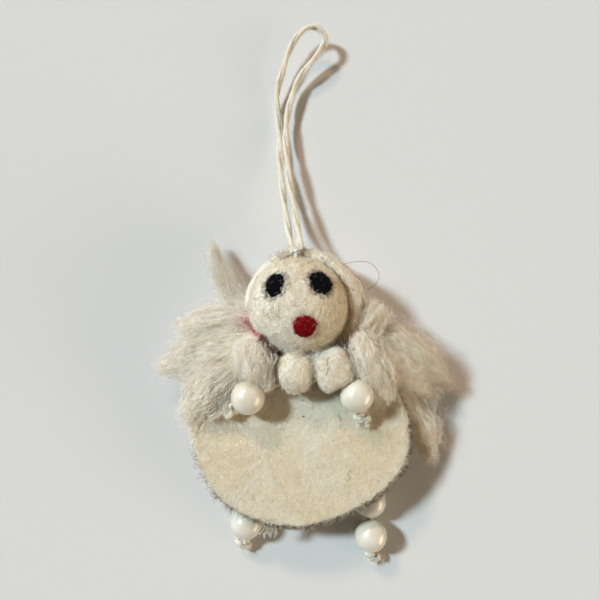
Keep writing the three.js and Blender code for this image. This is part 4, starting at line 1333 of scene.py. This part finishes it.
def strip_mesh(name, strip):
    """A narrow ribbon, laid over what the camera sees at the places."""
    spots = [under(x, y, strip.lift) for x, y in strip.places]
    shape = bmesh.new()
    pairs = []
    for i, spot in enumerate(spots):
        run = spots[min(i + 1, len(spots) - 1)] - spots[max(i - 1, 0)]
        side = run.cross(BACK).normalized() * strip.width / 2
        pairs.append([shape.verts.new((spot + side * s) * MM) for s in (-1, 1)])
    for (a, b), (c, d) in zip(pairs, pairs[1:]):
        shape.faces.new((a, b, d, c))
    return mesh_of(name, shape)


for key, strip in STRIPS.items():
    coat(key, strip_mesh(key, strip), "doll", "head_felt", strip.material, strip.density,
         strip.length, 0.04, lean=0.92, hug=0.4, stand=0.5, curl=1.4, curl_size=1.1,
         seed=strip.seed)

# %% [markdown]
# Single hairs are thin twine of one ply: dark ones beside the head and at the cheek, pale ones
# that stand off the wool on the right, and a few short ones on the collar and the dress.

# %% Stray hairs
LONG_HAIR_ROOT = [under(333, 272, 0.3), under(341, 266, 0.5)]
LONG_HAIR = [(349, 263, 12), (359, 261.5, 11), (368, 262, 10.5), (376, 268, 10), (379, 277, 9.5),
             (374, 286, 9.5), (366, 290, 10)]
SHORT_HAIR = [(355, 274, 11), (361, 281, 11.5), (364, 290, 12), (366, 299, 13.5)]
FACE_HAIRS = {
    "pink_hair_0": (0.03, [(232, 331, 15), (236, 327, 15.5), (242, 325, 15.5)]),
    "pink_hair_1": (0.03, [(235, 322, 15), (238, 327, 15.5), (239, 333, 15)]),
    "cheek_hair": (0.03, [(279.5, 303), (278.8, 311), (279.2, 319)]),
}
DRESS_HAIRS = {
    "puff_hair": (0.04, [(329, 357), (327, 363), (328, 369), (326, 375)]),
    "dress_hair": (0.04, [(338, 415), (340.5, 417.5), (340, 420.5)]),
    "dress_curl": (0.03, [(346, 481), (350, 478), (347, 473), (352, 469)]),
}
WING_HAIRS, WING_START, WING_STEP = 12, (372, 384), (5.5, 1.6)


def hairs(name, lines, radius=0.05, material=HAIR, slot="head_felt", step=0.3, unevenness=0.25):
    """Single hairs through places in millimetres."""
    lines = [[tuple(spot) for spot in line] for line in lines]
    make(twining, name, line_mesh(name, lines), "doll", slot, plies=1, ply_radius=radius,
         ply_offset=0.0, step=step, unevenness=unevenness, material=material)


def wing_places(number):
    """A hair off the wool on the right. Each starts further right and a little lower."""
    lean, turn = sin(number * 1.7), cos(number * 2.3)
    x = WING_START[0] + WING_STEP[0] * number
    y = WING_START[1] + WING_STEP[1] * number - 6 * abs(lean)
    return [(x, y, 13 - 0.5 * number), (x + 6, y + 3 * lean + 3, 13.5 - 0.5 * number),
            (x + 12, y + 5 * turn + 4, 13 - 0.6 * number),
            (x + 17, y + 6 * turn + 9 * lean, 12 - 0.6 * number)]


hairs("long_hair", [LONG_HAIR_ROOT + seen(LONG_HAIR)])
hairs("short_hair", [seen(SHORT_HAIR)])
for key, (radius, places) in FACE_HAIRS.items():
    hairs(key, [seen(places)], radius)
for number in range(WING_HAIRS):
    hairs(f"wing_hair_{number}", [seen(wing_places(number))], 0.035, TWINE)
for key, (radius, places) in DRESS_HAIRS.items():
    hairs(key, [seen(places)], radius)

# %% [markdown]
# A small tuft of pale fibres hangs over the hem below, and two dark specks of wool sit on the
# dress.

# %% Hem tuft and specks
TUFT_HAIRS, TUFT_START, TUFT_STEP, TUFT_LEVELS = 16, (277, 519), (-0.7, 0.06), (9.2, 8.6)
SPECKS, SPECK_LIFT, SPECK_RUN = [(302.2, 400.5), (303, 416.7)], 0.1, Vector((0.25, 0.1, 0.02))


def tuft_line(number):
    """One hair, from the top of the hem outward and down."""
    lean = sin(number * 2.4)
    x, y = (start + number * step for start, step in zip(TUFT_START, TUFT_STEP))
    return [under(x, y, 0.1), under(x - 1.0 + 2 * lean, y + 9, height=TUFT_LEVELS[0]),
            under(x - 2.5 + 5 * lean, y + 19 - 4 * abs(lean), height=TUFT_LEVELS[1])]


hairs("hem_tuft", [tuft_line(number) for number in range(TUFT_HAIRS)], 0.09, TWINE, "dress_felt",
      0.5, 0.3)
for number, (x, y) in enumerate(SPECKS):
    spot = under(x, y, SPECK_LIFT)
    hairs(f"dress_speck_{number}", [[spot, spot + SPECK_RUN]], 0.17)

# %% [markdown]
# The floor is plain and pale. The photograph's coloured shadows tell of two lights: a cool window
# on the left, whose shadow is tan, and a warm lamp at the top left, whose shadow is pale blue. A
# wide low light on the right stands for what the room throws back, and a dim warm sky fills the
# rest. Together they light the felt at about the level at which a colour renders as written.

# %% Floor and light
FLOOR_HALF = 2
FLOOR_CORNERS = [(x * FLOOR_HALF, y * FLOOR_HALF, 0) for x, y in ((-1, -1), (1, -1), (1, 1), (-1, 1))]
SKY_LIGHT, SKY_SEEN = [0.13, 0.097, 0.06, 1.0], [0.85, 0.86, 0.88, 1.0]

floor_mesh = bpy.data.meshes.new("floor")
floor_mesh.from_pydata(FLOOR_CORNERS, [], [(0, 1, 2, 3)])
floor_finish, _, floor_shader = finish("pale_table", 0.9)
floor_shader.inputs["Base Color"].default_value = colour("cfd0d1")
floor_mesh.materials.append(floor_finish)
put("floor", floor_mesh)


def sun(name, strength, angle, tone, toward):
    """A sun in the direction toward, so many degrees wide."""
    light = bpy.data.lights.new(name, "SUN")
    light.energy, light.angle, light.color = strength, radians(angle), tone
    lamp = put(name, light)
    lamp.rotation_mode = "QUATERNION"
    lamp.rotation_quaternion = Vector(toward).to_track_quat("Z", "Y")
    print(name, "strength", strength)


sun("window", 3.7, 8, (0.745, 0.895, 0.96), (-0.68, 0.3, 0.67))
sun("lamp", 1.25, 8, (1.0, 0.67, 0.49), (-0.39, 0.73, 0.56))
sun("room", 2.3, 44, (1.0, 0.82, 0.6), (0.88, -0.34, 0.16))

sky = bpy.data.worlds.new("sky")
sky.use_nodes = True
sky.node_tree.nodes.clear()
sky_bench = Bench(sky.node_tree)
path = sky_bench.add("ShaderNodeLightPath")
looked_at = path["Is Camera Ray"] + path["Is Glossy Ray"] + path["Is Transmission Ray"]
tint = sky_bench.blend(SKY_LIGHT, SKY_SEEN, looked_at)
sky_bench.add("ShaderNodeOutputWorld", {0: sky_bench.add("ShaderNodeBackground", {0: tint})[0]})
bpy.context.scene.world = sky
print("The floor and the sky are ready")
